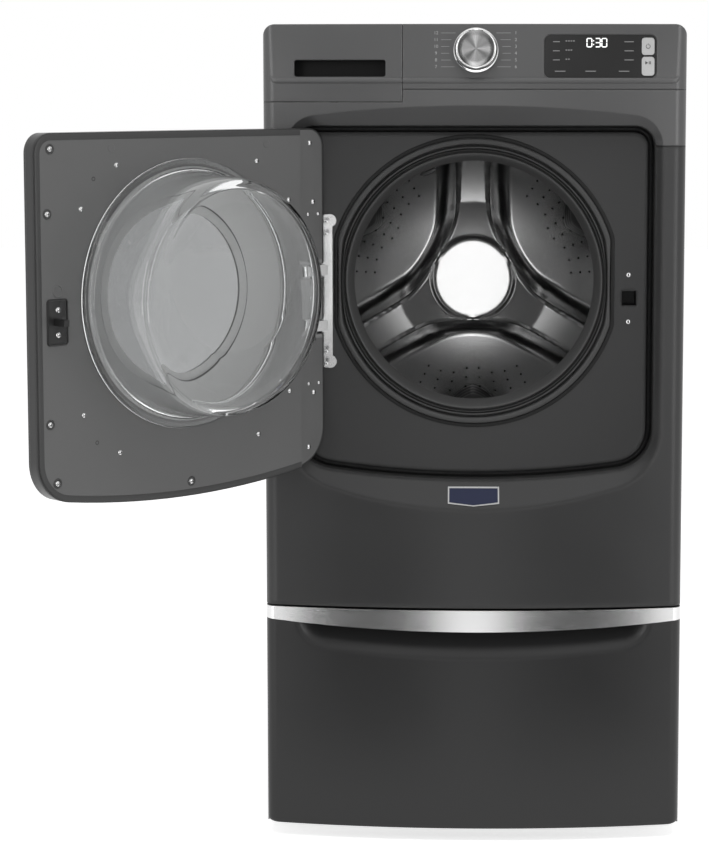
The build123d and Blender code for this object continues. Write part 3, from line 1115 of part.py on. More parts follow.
# ---- Drum, its back, lifters, spider and shaft -------------------------------------------
DRUM_SHEET = 1.5
DRUM_R = TUB_R - DRUM_GAP
DRUM_BACK = TUB_BACK - DRUM_BACK_GAP
PETAL_EDGE = 28.0
PETAL_R = (70.0, DRUM_R - PETAL_EDGE)
PETAL_RISE = 12.0
PETAL_CORNER = 18.0
CHANNEL = 56.0
HOLE_R = 2.2
HOLE_RING_EDGE = 58.0
HOLE_RING_STEP = 17.0
HOLE_RINGS = [DRUM_R - HOLE_RING_EDGE - ring * HOLE_RING_STEP for ring in (2, 1, 0)]
HOLE_COLUMNS = 12
HOLE_STEP = 5.5
THIRD = 120
LIFTER_HEIGHT = 79.0
LIFTER_TIP_R = DRUM_R - LIFTER_HEIGHT
LIFTER_HALF = 95.0
LIFTER_NOSE_R = 22.0
LIFTER_FRONT_GAP = 38.0
LIFTER_BACK_GAP = 20.0
LIFTER_ALONG = (DRUM_FRONT + LIFTER_FRONT_GAP, DRUM_BACK - LIFTER_BACK_GAP)
LIFTER_WALL = 3.0
SPIDER_WIDTH = 40.0
SPIDER_DEPTH = 26.0
SPIDER_HUB_R = 46.0
SHAFT_STUB = 42.0
SHAFT_END = TUB_BACK + HUB_REACH + SHAFT_STUB

drum_profile = [(DRUM_FRONT, DRUM_MOUTH_R), (DRUM_FRONT + 6, DRUM_R), (DRUM_BACK, DRUM_R),
                (DRUM_BACK, DRUM_R - DRUM_SHEET), (DRUM_FRONT + 6 + DRUM_SHEET, DRUM_R - DRUM_SHEET),
                (DRUM_FRONT + DRUM_SHEET * 2, DRUM_MOUTH_R)]
with BuildPart() as drum_shell:
    add(turned(drum_profile, WASH_SECTION, WASH_AXIS))
drum_shell.part.label = "drum_shell"
export_step(drum_shell.part, "parts/drum_shell.step")


def petals(inset):
    """Three petals of the drum back, moved inwards by inset."""
    with BuildSketch(mode=Mode.PRIVATE) as outline:
        Circle(PETAL_R[1] - inset)
        Circle(PETAL_R[0] + inset, mode=Mode.SUBTRACT)
        with PolarLocations(PETAL_R[1] / 2, 3, start_angle=90):
            Rectangle(PETAL_R[1] + 2 * SKIN, CHANNEL + 2 * inset, mode=Mode.SUBTRACT)
        fillet(outline.vertices(), PETAL_CORNER - inset)
    return outline.sketch


inner_r = DRUM_R - DRUM_SHEET
with BuildPart() as drum_back:
    with BuildSketch(WASH.offset(DRUM_BACK - DRUM_SHEET)):
        Circle(inner_r)
        add(petals(DRUM_SHEET), mode=Mode.SUBTRACT)
    extrude(amount=DRUM_SHEET)
    with BuildSketch(WASH.offset(DRUM_BACK - PETAL_RISE)):
        add(petals(0))
        add(petals(DRUM_SHEET), mode=Mode.SUBTRACT)
    extrude(amount=PETAL_RISE)
    with BuildSketch(WASH.offset(DRUM_BACK - PETAL_RISE)):
        add(petals(0))
        for ring_r in HOLE_RINGS:
            for third in range(3):
                first = 30 + third * THIRD - HOLE_STEP * (HOLE_COLUMNS - 1) / 2
                with PolarLocations(ring_r, HOLE_COLUMNS, start_angle=first,
                                    angular_range=HOLE_STEP * (HOLE_COLUMNS - 1), endpoint=True):
                    Circle(HOLE_R, mode=Mode.SUBTRACT)
    extrude(amount=DRUM_SHEET)
drum_back.part.label = "drum_back"
export_step(drum_back.part, "parts/drum_back.step")


def lifter_section(wall):
    """Section of the upper lifter with its wall taken off all round."""
    rim = inner_r - wall
    half = LIFTER_HALF - 2 * wall
    with BuildSketch(mode=Mode.PRIVATE) as section:
        with BuildLine():
            foot = math.sqrt(rim ** 2 - half ** 2)
            ThreePointArc((-half, foot), (0, rim), (half, foot))
            Polyline((half, foot), (0, LIFTER_TIP_R + wall), (-half, foot))
        make_face()
        fillet(section.vertices().sort_by(Axis.Y)[0], LIFTER_NOSE_R - wall)
    return section.sketch


with BuildPart() as drum_lifters:
    for turn in (30, 150, 270):
        place = Rotation(0, 0, turn - 90)
        with BuildSketch(WASH.offset(LIFTER_ALONG[0])):
            add(place * lifter_section(0))
        extrude(amount=LIFTER_ALONG[1] - LIFTER_ALONG[0])
        with BuildSketch(WASH.offset(LIFTER_ALONG[0] + LIFTER_WALL)):
            add(place * lifter_section(LIFTER_WALL))
        extrude(amount=LIFTER_ALONG[1] - LIFTER_ALONG[0] - 2 * LIFTER_WALL, mode=Mode.SUBTRACT)
drum_lifters.part.label = "drum_lifters"
export_step(drum_lifters.part, "parts/drum_lifters.step")

with BuildPart() as drum_shaft:
    with BuildSketch(WASH.offset(DRUM_BACK)):
        Circle(SPIDER_HUB_R)
        for turn in (90, 210, 330):
            with PolarLocations(DRUM_R / 2 - SKIN, 1, start_angle=turn):
                Rectangle(DRUM_R - 2 * SKIN, SPIDER_WIDTH)
    extrude(amount=SPIDER_DEPTH)
    with BuildSketch(WASH.offset(DRUM_BACK + SPIDER_DEPTH)):
        Circle(SHAFT_R)
    extrude(amount=SHAFT_END - DRUM_BACK - SPIDER_DEPTH)
drum_shaft.part.label = "drum_shaft"
export_step(drum_shaft.part, "parts/drum_shaft.step")

with BuildPart() as drum_bearings:
    for along in (TUB_BACK - TUB_WALL, TUB_BACK + HUB_REACH - BEARING_LENGTH):
        with BuildSketch(WASH.offset(along)):
            Circle(BEARING_R)
            Circle(SHAFT_R + RUNNING, mode=Mode.SUBTRACT)
        extrude(amount=BEARING_LENGTH)
drum_bearings.part.label = "drum_bearings"
export_step(drum_bearings.part, "parts/drum_bearings.step")

# ---- Belt drive ------------------------------------------------------------------------
PULLEY_WIDTH = 18.0
PULLEY_RIM = 8.0
PULLEY_HUB_R = 28.0
SPOKE_WIDTH = 16.0
BELT_WIDTH = 14.0
BELT_THICK = 3.5
BELT_GAP = 0.3
MOTOR_LENGTH = 120.0
MOTOR_WALL = 4.0
ROTOR_SHAFT_R = 7.0
pulley_start = SHAFT_END - PULLEY_WIDTH - 4

with BuildPart() as drum_pulley:
    with BuildSketch(WASH.offset(pulley_start)):
        Circle(PULLEY_R)
        Circle(PULLEY_R - PULLEY_RIM, mode=Mode.SUBTRACT)
        with PolarLocations(PULLEY_R / 2, 5):
            Rectangle(PULLEY_R - PULLEY_RIM / 2, SPOKE_WIDTH)
        Circle(PULLEY_HUB_R)
        Circle(SHAFT_R, mode=Mode.SUBTRACT)
    extrude(amount=PULLEY_WIDTH)
drum_pulley.part.label = "drum_pulley"
export_step(drum_pulley.part, "parts/drum_pulley.step")


def belt_loop(grow):
    """Outline round both pulleys, grown outwards."""
    with BuildSketch(mode=Mode.PRIVATE) as loop:
        Circle(PULLEY_R + grow)
        with Locations((0, -MOTOR_DROP)):
            Circle(MOTOR_PULLEY_R + grow)
        make_hull()
    return loop.sketch


with BuildPart() as drive_belt:
    with BuildSketch(WASH.offset(pulley_start + (PULLEY_WIDTH - BELT_WIDTH) / 2)):
        add(belt_loop(BELT_GAP + BELT_THICK))
        add(belt_loop(BELT_GAP), mode=Mode.SUBTRACT)
    extrude(amount=BELT_WIDTH)
drive_belt.part.label = "drive_belt"
export_step(drive_belt.part, "parts/drive_belt.step")

motor_start = pulley_start - MOTOR_LENGTH - PULLEY_WIDTH / 2
with BuildPart() as motor_housing:
    with BuildSketch(WASH.offset(motor_start)):
        with Locations((0, -MOTOR_DROP)):
            Circle(MOTOR_R)
        with Locations((0, -MOTOR_DROP + MOTOR_R)):
            Rectangle(MOTOR_R, MOTOR_R)
        Circle(TUB_R + TUB_WALL, mode=Mode.SUBTRACT)
    extrude(amount=MOTOR_LENGTH)
    with BuildSketch(WASH.offset(motor_start + MOTOR_WALL)):
        with Locations((0, -MOTOR_DROP)):
            Circle(MOTOR_R - MOTOR_WALL)
    extrude(amount=MOTOR_LENGTH - 2 * MOTOR_WALL, mode=Mode.SUBTRACT)
    with BuildSketch(WASH.offset(motor_start - MOTOR_WALL)):
        with Locations((0, -MOTOR_DROP)):
            Circle(ROTOR_SHAFT_R + RUNNING)
    extrude(amount=MOTOR_LENGTH + 2 * MOTOR_WALL, mode=Mode.SUBTRACT)
motor_housing.part.label = "motor_housing"
export_step(motor_housing.part, "parts/motor_housing.step")

with BuildPart() as motor_rotor:
    for start, length, radius in (
            (motor_start, pulley_start + PULLEY_WIDTH - motor_start, ROTOR_SHAFT_R),
            (motor_start + 3 * MOTOR_WALL, MOTOR_LENGTH - 6 * MOTOR_WALL, MOTOR_R - 4 * MOTOR_WALL),
            (pulley_start, PULLEY_WIDTH, MOTOR_PULLEY_R)):
        with BuildSketch(WASH.offset(start)):
            with Locations((0, -MOTOR_DROP)):
                Circle(radius)
        extrude(amount=length)
motor_rotor.part.label = "motor_rotor"
export_step(motor_rotor.part, "parts/motor_rotor.step")

# ---- Water: inlet valve, pump, drain hose; and the cord gland ---------------------------
VALVE_DEPTH = 50.0
VALVE_HALF_W = 52.0
VALVE_HALF_H = 22.0
PORT_REACH = 18.0
PUMP_X = 200.0
PUMP_Y = -336.0
PUMP_R = 36.0
PUMP_LENGTH = 90.0
HOSE_R = 10.0
HOSE_WALL = 2.5

with BuildPart() as inlet_valve:
    valve_z = TOP - VALVE_DROP
    add(box_between((VALVE_X - VALVE_HALF_W, SIDE_BACK_Y - SHEET - VALVE_DEPTH, valve_z - VALVE_HALF_H),
                    (VALVE_X + VALVE_HALF_W, SIDE_BACK_Y - SHEET, valve_z + VALVE_HALF_H)))
    with BuildSketch(upright(SIDE_BACK_Y - SHEET)):
        with Locations((VALVE_X - PORT_SPACING / 2, valve_z), (VALVE_X + PORT_SPACING / 2, valve_z)):
            Circle(PORT_R + PORT_BOSS)
    extrude(amount=-SHEET)
    with BuildSketch(upright(SIDE_BACK_Y)):
        with Locations((VALVE_X - PORT_SPACING / 2, valve_z), (VALVE_X + PORT_SPACING / 2, valve_z)):
            Circle(PORT_R)
    extrude(amount=-PORT_REACH)
    with BuildSketch(upright(SIDE_BACK_Y + PORT_REACH)):
        with Locations((VALVE_X - PORT_SPACING / 2, valve_z), (VALVE_X + PORT_SPACING / 2, valve_z)):
            Circle(PORT_R - SKIN)
    extrude(amount=PORT_REACH * 2, mode=Mode.SUBTRACT)
inlet_valve.part.label = "inlet_valve"
export_step(inlet_valve.part, "parts/inlet_valve.step")

with BuildPart() as drain_pump:
    pump_z = WASHER_BOTTOM + SHEET + PUMP_R + SKIN
    add(box_between((PUMP_X - PUMP_R, PUMP_Y - PUMP_LENGTH / 2, WASHER_BOTTOM + SHEET),
                    (PUMP_X + PUMP_R, PUMP_Y + PUMP_LENGTH / 2, pump_z)))
    with BuildSketch(upright(PUMP_Y + PUMP_LENGTH / 2)):
        with Locations((PUMP_X, pump_z)):
            Circle(PUMP_R)
    extrude(amount=PUMP_LENGTH)
drain_pump.part.label = "drain_pump"
export_step(drain_pump.part, "parts/drain_pump.step")

HOSE_CLEAR_Y = 350.0
HOSE_RISE = 12.0
BEND = 0.45
hose_start = (PUMP_X, PUMP_Y + PUMP_LENGTH / 2, pump_z)
hose_run = (HOSE_CLEAR_Y - hose_start[1]) / 3
HOSE_POINTS = [hose_start, (PUMP_X, hose_start[1] + hose_run, pump_z),
               (PUMP_X + 4, hose_start[1] + 2 * hose_run, pump_z + HOSE_RISE),
               (PUMP_X - HOSE_RISE, HOSE_CLEAR_Y - 2, pump_z + 2 * HOSE_RISE),
               (0, HOSE_CLEAR_Y + 2, pump_z + 3 * HOSE_RISE), (DRAIN_X / 2, HOSE_CLEAR_Y, pump_z + 5 * HOSE_RISE),
               (DRAIN_X, HOSE_CLEAR_Y - 1, pump_z + 12 * HOSE_RISE),
               (DRAIN_X - 1, HOSE_CLEAR_Y + 1, DRAIN_Z - 24 * HOSE_RISE),
               (DRAIN_X + 1, HOSE_CLEAR_Y, DRAIN_Z - 10 * HOSE_RISE), (DRAIN_X, HOSE_CLEAR_Y, DRAIN_Z),
               (DRAIN_X, SIDE_BACK_Y + PORT_REACH, DRAIN_Z)]
hose_radii = []
for before, corner, after in zip(HOSE_POINTS, HOSE_POINTS[1:], HOSE_POINTS[2:]):
    run_in = Vector(*corner) - Vector(*before)
    run_out = Vector(*after) - Vector(*corner)
    half_turn = math.radians(run_in.get_angle(run_out)) / 2
    hose_radii.append(BEND * min(run_in.length, run_out.length) / math.tan(half_turn))
print("drain hose radii", [round(radius) for radius in hose_radii])

with BuildPart() as drain_hose:
    with BuildLine() as hose_path:
        FilletPolyline(*HOSE_POINTS, radius=hose_radii)
    with BuildSketch(Plane(origin=hose_path.line @ 0, z_dir=hose_path.line % 0)):
        Circle(HOSE_R)
        Circle(HOSE_R - HOSE_WALL, mode=Mode.SUBTRACT)
    sweep(path=hose_path.line)
drain_hose.part.label = "drain_hose"
export_step(drain_hose.part, "parts/drain_hose.step")
hose_section = math.pi * (HOSE_R ** 2 - (HOSE_R - HOSE_WALL) ** 2)
hose_length = sum(edge.length for edge in hose_path.edges())
print("drain hose volume ratio", drain_hose.part.volume / (hose_section * hose_length))

GLAND_FLANGE = 5.0
with BuildPart() as cord_gland:
    with BuildSketch(upright(SIDE_BACK_Y)):
        with Locations((GLAND_X, GLAND_Z)):
            Circle(GLAND_R + GLAND_FLANGE)
            Circle(GLAND_R / 2, mode=Mode.SUBTRACT)
    extrude(amount=-GLAND_FLANGE)
    with BuildSketch(upright(SIDE_BACK_Y)):
        with Locations((GLAND_X, GLAND_Z)):
            Circle(GLAND_R)
            Circle(GLAND_R / 2, mode=Mode.SUBTRACT)
    extrude(amount=GLAND_FLANGE)
cord_gland.part.label = "cord_gland"
export_step(cord_gland.part, "parts/cord_gland.step")

# ---- Deck bolts and rear panel screws ---------------------------------------------------
BOLT_HEAD_R = 7.0
BOLT_HEAD = 5.0
REAR_SCREW_EDGE = 60.0
REAR_SCREW_STEP = 280.0
REAR_SCREW_INSET = 18.0
REAR_SCREW_X = HALF - REAR_SCREW_INSET
REAR_SCREW_Z = [WASHER_BOTTOM + REAR_SCREW_EDGE + row * REAR_SCREW_STEP for row in range(3)]
REAR_SCREW_Z.append(TOP - REAR_SCREW_EDGE)

with BuildPart() as cabinet_screws:
    with Locations((0, 0, PEDESTAL_TOP - SHEET - BOLT_HEAD)):
        with GridLocations(2 * BOLT_X, 2 * BOLT_Y, 2, 2):
            Cylinder(BOLT_HEAD_R, BOLT_HEAD, align=(Align.CENTER, Align.CENTER, Align.MIN))
            Cylinder(BOLT_R, BOLT_HEAD + DECK_GAP + 4 * SHEET, align=(Align.CENTER, Align.CENTER, Align.MIN))
    with Locations((0, 0, PEDESTAL_TOP)):
        with GridLocations(2 * BOLT_X, 2 * BOLT_Y, 2, 2):
            Cylinder(BOLT_HEAD_R, DECK_GAP, align=(Align.CENTER, Align.CENTER, Align.MIN))
    with BuildSketch(upright(SIDE_BACK_Y)):
        for z in REAR_SCREW_Z:
            with Locations((-REAR_SCREW_X, z), (REAR_SCREW_X, z)):
                Circle(SCREW_R)
    extrude(amount=-SCREW_HEAD)
cabinet_screws.part.label = "cabinet_screws"
export_step(cabinet_screws.part, "parts/cabinet_screws.step")
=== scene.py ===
import json
import math

import bmesh
import bpy
from mathutils import Matrix, Vector


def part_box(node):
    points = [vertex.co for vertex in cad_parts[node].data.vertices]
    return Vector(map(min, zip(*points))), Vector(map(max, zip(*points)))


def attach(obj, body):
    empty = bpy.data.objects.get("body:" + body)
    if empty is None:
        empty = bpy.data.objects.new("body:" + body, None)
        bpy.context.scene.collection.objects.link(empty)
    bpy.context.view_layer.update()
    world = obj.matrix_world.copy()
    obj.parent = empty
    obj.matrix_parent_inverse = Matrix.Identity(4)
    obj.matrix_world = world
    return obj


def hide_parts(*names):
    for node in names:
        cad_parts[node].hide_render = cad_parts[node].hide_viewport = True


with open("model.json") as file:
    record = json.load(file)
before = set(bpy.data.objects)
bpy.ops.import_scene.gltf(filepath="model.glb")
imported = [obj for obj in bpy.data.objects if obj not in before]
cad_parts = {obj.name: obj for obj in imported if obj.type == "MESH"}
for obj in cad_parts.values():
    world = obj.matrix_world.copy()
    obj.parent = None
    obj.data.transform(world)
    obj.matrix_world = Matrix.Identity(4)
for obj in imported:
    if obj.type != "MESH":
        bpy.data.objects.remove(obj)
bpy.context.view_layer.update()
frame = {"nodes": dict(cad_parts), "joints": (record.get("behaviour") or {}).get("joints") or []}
nodes = frame["nodes"]
joints = {joint["name"]: joint for joint in frame["joints"]}
MM = 0.001

# ---- Painted shell ---------------------------------------
# Folded sheet steel: two sides, a lid, a bowed front with a deep door pocket, the door's
# outer shell, and the pedestal's wrap and drawer front, all in one dark satin powder coat.


def grey(tone, red=1.0, blue=1.0):
    """A shade from its value on a 0 to 255 colour chart, nudged warmer or cooler."""
    value = ((tone / 255 + 0.055) / 1.055) ** 2.4
    return (value * red, value, value * blue, 1.0)


def socket_kind(value):
    """The kind of socket that holds a value; a kind without a value is given by its own name."""
    if isinstance(value, str):
        return "NodeSocket" + value
    if isinstance(value, tuple):
        return "NodeSocketColor" if len(value) == 4 else "NodeSocketVector"
    return "NodeSocketInt" if isinstance(value, int) else "NodeSocketFloat"


def new_group(name, kind, outputs, **inputs):
    """An empty node group with named inputs and outputs, and the sockets of its two end nodes."""
    group = bpy.data.node_groups.new(name, kind)
    for way, sockets in (("INPUT", inputs), ("OUTPUT", outputs)):
        for label, value in sockets.items():
            label, kind = label.replace("_", " "), socket_kind(value)
            made = group.interface.new_socket(label, in_out=way, socket_type=kind)
            if not isinstance(value, str):
                made.default_value = value
    return group, group.nodes.new("NodeGroupInput").outputs, group.nodes.new("NodeGroupOutput").inputs


def feed(tree, socket, value):
    """Join a socket to another one, or set it to a number."""
    if isinstance(value, bpy.types.NodeSocket):
        tree.links.new(value, socket)
    else:
        socket.default_value = value


def feed_all(tree, sockets, **values):
    """Feed sockets by their names."""
    for label, value in values.items():
        feed(tree, sockets[label.replace("_", " ")], value)


def node(tree, kind, settings=None, **inputs):
    """Add one node, set its options, feed its inputs and return its outputs."""
    made = tree.nodes.new(kind)
    for label, value in (settings or {}).items():
        setattr(made, label, value)
    feed_all(tree, made.inputs, **inputs)
    return made.outputs


def worked(tree, kind, first, second=0.0):
    """One step of arithmetic."""
    step = tree.nodes.new("ShaderNodeMath")
    step.operation = kind
    feed(tree, step.inputs[0], first)
    feed(tree, step.inputs[1], second)
    return step.outputs[0]


def times(tree, first, second):
    """One number times another."""
    return worked(tree, "MULTIPLY", first, second)


def plus(tree, first, second):
    """One number and another."""
    return worked(tree, "ADD", first, second)


def minus(tree, first, second):
    """One number less another."""
    return worked(tree, "SUBTRACT", first, second)


def cloudy(tree, place, scale, detail):
    """Soft random tone over a surface."""
    return node(tree, "ShaderNodeTexNoise", Vector=place, Scale=scale, Detail=detail)["Fac"]


def spread(tree, value, low, high):
    """A random tone spread between two levels."""
    return node(tree, "ShaderNodeMapRange", Value=value, From_Min=0.25, From_Max=0.75,
                To_Min=low, To_Max=high)["Result"]


def spread_by(tree, value, share):
    """A random tone spread by a share to either side of one."""
    return spread(tree, value, minus(tree, 1.0, share), plus(tree, 1.0, share))


def pattern_group(name, **inputs):
    """An empty shader group for a finish, with a shade and a gloss among its inputs."""
    outputs = {"Color": "Color", "Roughness": "Float", "Height": "Float"}
    return new_group(name, "ShaderNodeTree", outputs, Shade=(0.5, 0.5, 0.5, 1.0), Gloss=0.3, **inputs)


def end_pattern(group, given, made, tone, uneven, share, relief):
    """End a finish: its tone on the shade, its unevenness on the gloss by a share, and its relief."""
    scaled = node(group, "ShaderNodeVectorMath", {"operation": "SCALE"}, Vector=given["Shade"], Scale=tone)[0]
    gloss = times(group, given["Gloss"], spread(group, uneven, 1 - share, 1 + share))
    feed_all(group, made, Color=scaled, Roughness=gloss, Height=relief)
    return group


def build_coating_grain():
    """Powder coat, moulded skin and rubber: cloudy tone, fine grain and uneven gloss."""
    group, given, made = pattern_group("coating_grain", Cloud=0.05, Grain_Size=900.0)
    place = node(group, "ShaderNodeTexCoord")["Object"]
    cloud = cloudy(group, place, 5.0, 4.0)
    grain = cloudy(group, place, given["Grain Size"], 2.0)
    tone = times(group, spread_by(group, cloud, given["Cloud"]), spread_by(group, grain, given["Cloud"]))
    return end_pattern(group, given, made, tone, cloud, 0.08, grain)


coating_grain = build_coating_grain()


def finish_start(name):
    """A new material with its surface shader."""
    material = bpy.data.materials.new(name)
    material.use_nodes = True
    return material, material.node_tree, material.node_tree.nodes["Principled BSDF"].inputs


def pattern(tree, surface, group, bump, depth, rounding=0.0, **values):
    """Drive a surface's colour, roughness, relief and softened edges from a pattern group."""
    made = node(tree, "ShaderNodeGroup", {"node_tree": group}, **values)
    relief = {"Strength": bump, "Distance": depth, "Height": made["Height"]}
    if rounding:
        relief["Normal"] = node(tree, "ShaderNodeBevel", {"samples": 8}, Radius=rounding)["Normal"]
    normal = node(tree, "ShaderNodeBump", **relief)["Normal"]
    feed_all(tree, surface, Base_Color=made["Color"], Roughness=made["Roughness"], Normal=normal)


def coated(name, shade, gloss, cloud=0.04, grain=900.0, bump=0.1, metal=0.0, coat=0.0, shine=0.5,
           rounding=0.0):
    """Finish of a coated, moulded or cast surface."""
    material, tree, surface = finish_start(name)
    pattern(tree, surface, coating_grain, bump, 0.0004, rounding, Shade=shade, Cloud=cloud, Grain_Size=grain,
            Gloss=gloss)
    feed_all(tree, surface, Metallic=metal, Coat_Weight=coat, Coat_Roughness=0.12, Specular_IOR_Level=shine)
    return material


def dress(material, *names):
    """Give CAD nodes their finish."""
    for name in names:
        nodes[name].data.materials.clear()
        nodes[name].data.materials.append(material)


graphite_coat = coated("graphite_coat", grey(43, 1.0, 1.01), 0.34, grain=1400.0, shine=0.4, rounding=0.009)
dress(graphite_coat, "side_panel_left", "side_panel_right", "top_panel", "front_panel", "door_outer_panel",
      "pedestal_cabinet", "pedestal_drawer_front")

# ---- Galvanised chassis ----------------------------------
# Bare zinc coated sheet with its cloudy spangle: the rear panel, the washer's base tray, the
# pedestal's base and the drawer's rails and runners.
zinc_sheet = coated("zinc_sheet", grey(165), 0.42, cloud=0.09, grain=140.0, bump=0.05, metal=0.9)
dress(zinc_sheet, "rear_panel", "base_frame", "pedestal_base", "drawer_rails", "drawer_runners")

# ---- Console ---------------------------------------------
# The fascia and the dispenser's front are one moulded shape in the cabinet's paint, set a shade lighter
# here as painted light for the face leaning back to the ceiling light. A soft roll runs round the lower edge
# of its leaning face, split at the seam.
console_coat = coated("console_coat", grey(70, 1.0, 1.01), 0.34, cloud=0.03, grain=1400.0, shine=0.6,
                      rounding=0.003)
dress(console_coat, "fascia", "dispenser_front")

console_low, console_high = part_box("fascia")
HALF_WIDTH = console_high.x
FRONT = console_low.y
TOP = console_high.z
FACE_HEIGHT = 0.095
FACE_LEAN = 0.014
FACE_LOW = TOP - FACE_HEIGHT
SIDE_CORNER = 0.022
LOW_BOW = 0.030
TOP_BOW = 0.020


def bow_depth(x, bow):
    """How far a bowed front has fallen back at x."""
    radius = (HALF_WIDTH ** 2 + bow ** 2) / (2 * bow)
    return radius - math.sqrt(radius ** 2 - x ** 2)


def round_off(past, radius):
    """How far a round corner has fallen back at a distance past where it starts."""
    return radius - math.sqrt(max(radius ** 2 - max(past, 0) ** 2, 0))


def face_y(x, z):
    """Depth of the leaning console face."""
    up = (z - FACE_LOW) / FACE_HEIGHT
    y = FRONT + (1 - up) * bow_depth(x, LOW_BOW) + up * (FACE_LEAN + bow_depth(x, TOP_BOW))
    return y + round_off(abs(x) - HALF_WIDTH + SIDE_CORNER, SIDE_CORNER)


def in_scene(name, data):
    """An object that carries a mesh, a lamp or a camera, put in the scene."""
    carrier = bpy.data.objects.new(name, data)
    bpy.context.scene.collection.objects.link(carrier)
    return carrier


def smooth_piece(name, mesh, finish, sharp=35):
    """A piece of one finish, smooth where it turns by less than the sharp angle."""
    mesh.shade_smooth()
    mesh.set_sharp_from_angle(angle=math.radians(sharp))
    mesh.materials.append(finish)
    return in_scene(name, mesh)


def new_piece(name, points, faces, finish, sharp=35):
    """A closed mesh piece that faces outwards."""
    mesh = bpy.data.meshes.new(name)
    mesh.from_pydata([tuple(point) for point in points], [], faces)
    work = bmesh.new()
    work.from_mesh(mesh)
    bmesh.ops.remove_doubles(work, verts=work.verts, dist=1e-6)
    bmesh.ops.dissolve_degenerate(work, edges=work.edges, dist=1e-7)
    bmesh.ops.recalc_face_normals(work, faces=work.faces)
    work.to_mesh(mesh)
    work.free()
    return smooth_piece(name, mesh, finish, sharp)


def skin_faces(rows, count, loop=True, wrap=True, start=0):
    """Faces between rows of points, each joined to the next; rows that are no loop get end caps."""
    faces = []
    for row in range(rows if loop else rows - 1):
        here, ahead = start + row * count, start + (row + 1) % rows * count
        for step in range(count if wrap else count - 1):
            side = (step + 1) % count
            faces.append((here + step, here + side, ahead + side, ahead + step))
    if not loop:
        faces += [tuple(range(cap, cap + count)) for cap in (start, start + (rows - 1) * count)]
    return faces


def skin_over(name, rings, finish, loop=True, wrap=True, sharp=35):
    """A skin over rings of points."""
    points = [point for ring in rings for point in ring]
    return new_piece(name, points, skin_faces(len(rings), len(rings[0]), loop, wrap), finish, sharp)


def fit(piece, body, slot, *replaced):
    """Fasten a finished piece to its body and hide the CAD nodes it stands for; the slot is not used."""
    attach(piece, body)
    if replaced:
        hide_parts(*replaced)


ROLL_CORNER = 0.018
ROLL_SIDE = HALF_WIDTH - 0.007
ROLL_HALF = 0.0045
ROLL_PROUD = 0.0022
ROLL_RISE = 0.045
ROLL_BASE = 0.0004
ROLL_ROOT = 0.0012
SEAM_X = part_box("dispenser_front")[1].x
SEAM_GAP = 0.0008


def roll_path():
    """The roll's line: down one side of the face, round the corner, along the bottom and up again."""
    z_low = FACE_LOW + ROLL_HALF
    path = [(-ROLL_SIDE, z_low + ROLL_CORNER + ROLL_RISE * (1 - step / 12)) for step in range(12)]
    for step in range(13):
        turn = math.pi + math.pi / 2 * step / 12
        path.append((ROLL_CORNER - ROLL_SIDE + ROLL_CORNER * math.cos(turn),
                     z_low + ROLL_CORNER + ROLL_CORNER * math.sin(turn)))
    run = ROLL_SIDE - ROLL_CORNER
    path += [(-run + 2 * run * step / 80, z_low) for step in range(1, 80)]
    mirrored = [(-x, z) for x, z in reversed(path[:25])]
    return path + mirrored


def roll_rings(path):
    """Half round sections of the roll, faded out at its two upper ends."""
    rings = []
    for step, (x, z) in enumerate(path):
        before = path[max(step - 1, 0)]
        after = path[min(step + 1, len(path) - 1)]
        way = Vector((after[0] - before[0], after[1] - before[1])).normalized()
        rise = (z - FACE_LOW - ROLL_HALF - ROLL_CORNER) / ROLL_RISE
        size = math.sqrt(min(max(1 - rise, 0), 1))
        ring = []
        for turn in range(9):
            angle = math.pi * turn / 8
            across = ROLL_HALF * size * math.cos(angle)
            px, pz = x - way.y * across, z + way.x * across
            proud = ROLL_PROUD * size * math.sin(angle)
            ring.append(Vector((px, face_y(px, pz) + ROLL_BASE - proud, pz)))
        ring.append(Vector((x, face_y(x, z) + ROLL_ROOT, z)))
        rings.append(ring)
    return rings


whole_roll = roll_path()
left_of_seam = [(x, z) for x, z in whole_roll if x < SEAM_X - SEAM_GAP]
right_of_seam = [(x, z) for x, z in whole_roll if x > SEAM_X + SEAM_GAP]
left_of_seam.append((SEAM_X - SEAM_GAP / 2, left_of_seam[-1][1]))
right_of_seam.insert(0, (SEAM_X + SEAM_GAP / 2, right_of_seam[0][1]))
left_roll = skin_over("dispenser_face_roll", roll_rings(left_of_seam), console_coat, loop=False)
right_roll = skin_over("console_face_roll", roll_rings(right_of_seam), console_coat, loop=False)
fit(left_roll, "dispenser", "console_paint")
fit(right_roll, "cabinet", "console_paint")

# ---- Dispenser finger slot -------------------------------
# The finger slot's inside is painted shade: a thin near-black sheet, set just inside the slot's walls,
# covers its back, floor, roof and ends and stands for the shade deep in the slot.
slot_black = coated("slot_black", grey(9), 0.6, cloud=0.1, grain=800.0, shine=0.2)
SLOT_MIDDLE = (-0.217, TOP - 0.071)
SLOT_HALF_W = 0.074
SLOT_HALF_H = 0.0135
SLOT_CORNER = 0.0036
SLOT_DEEP = 0.0212
SLOT_LIP = 0.0035
SHADE_SHEET_GAP = 0.0002
SHADE_SHEET_THICK = 0.0006


def rounded_ring(middle, half_w, half_h, corner, grow, steps):
    """Points (x, z) round a rectangle with rounded corners, its outline moved out by grow."""
    ring = []
    for side, up, first in ((1, 1, 0), (-1, 1, 90), (-1, -1, 180), (1, -1, 270)):
        for step in range(steps + 1):
            turn = math.radians(first + 90 * step / steps)
            ring.append((middle[0] + side * (half_w - corner) + (corner + grow) * math.cos(turn),
                         middle[1] + up * (half_h - corner) + (corner + grow) * math.sin(turn)))
    return ring


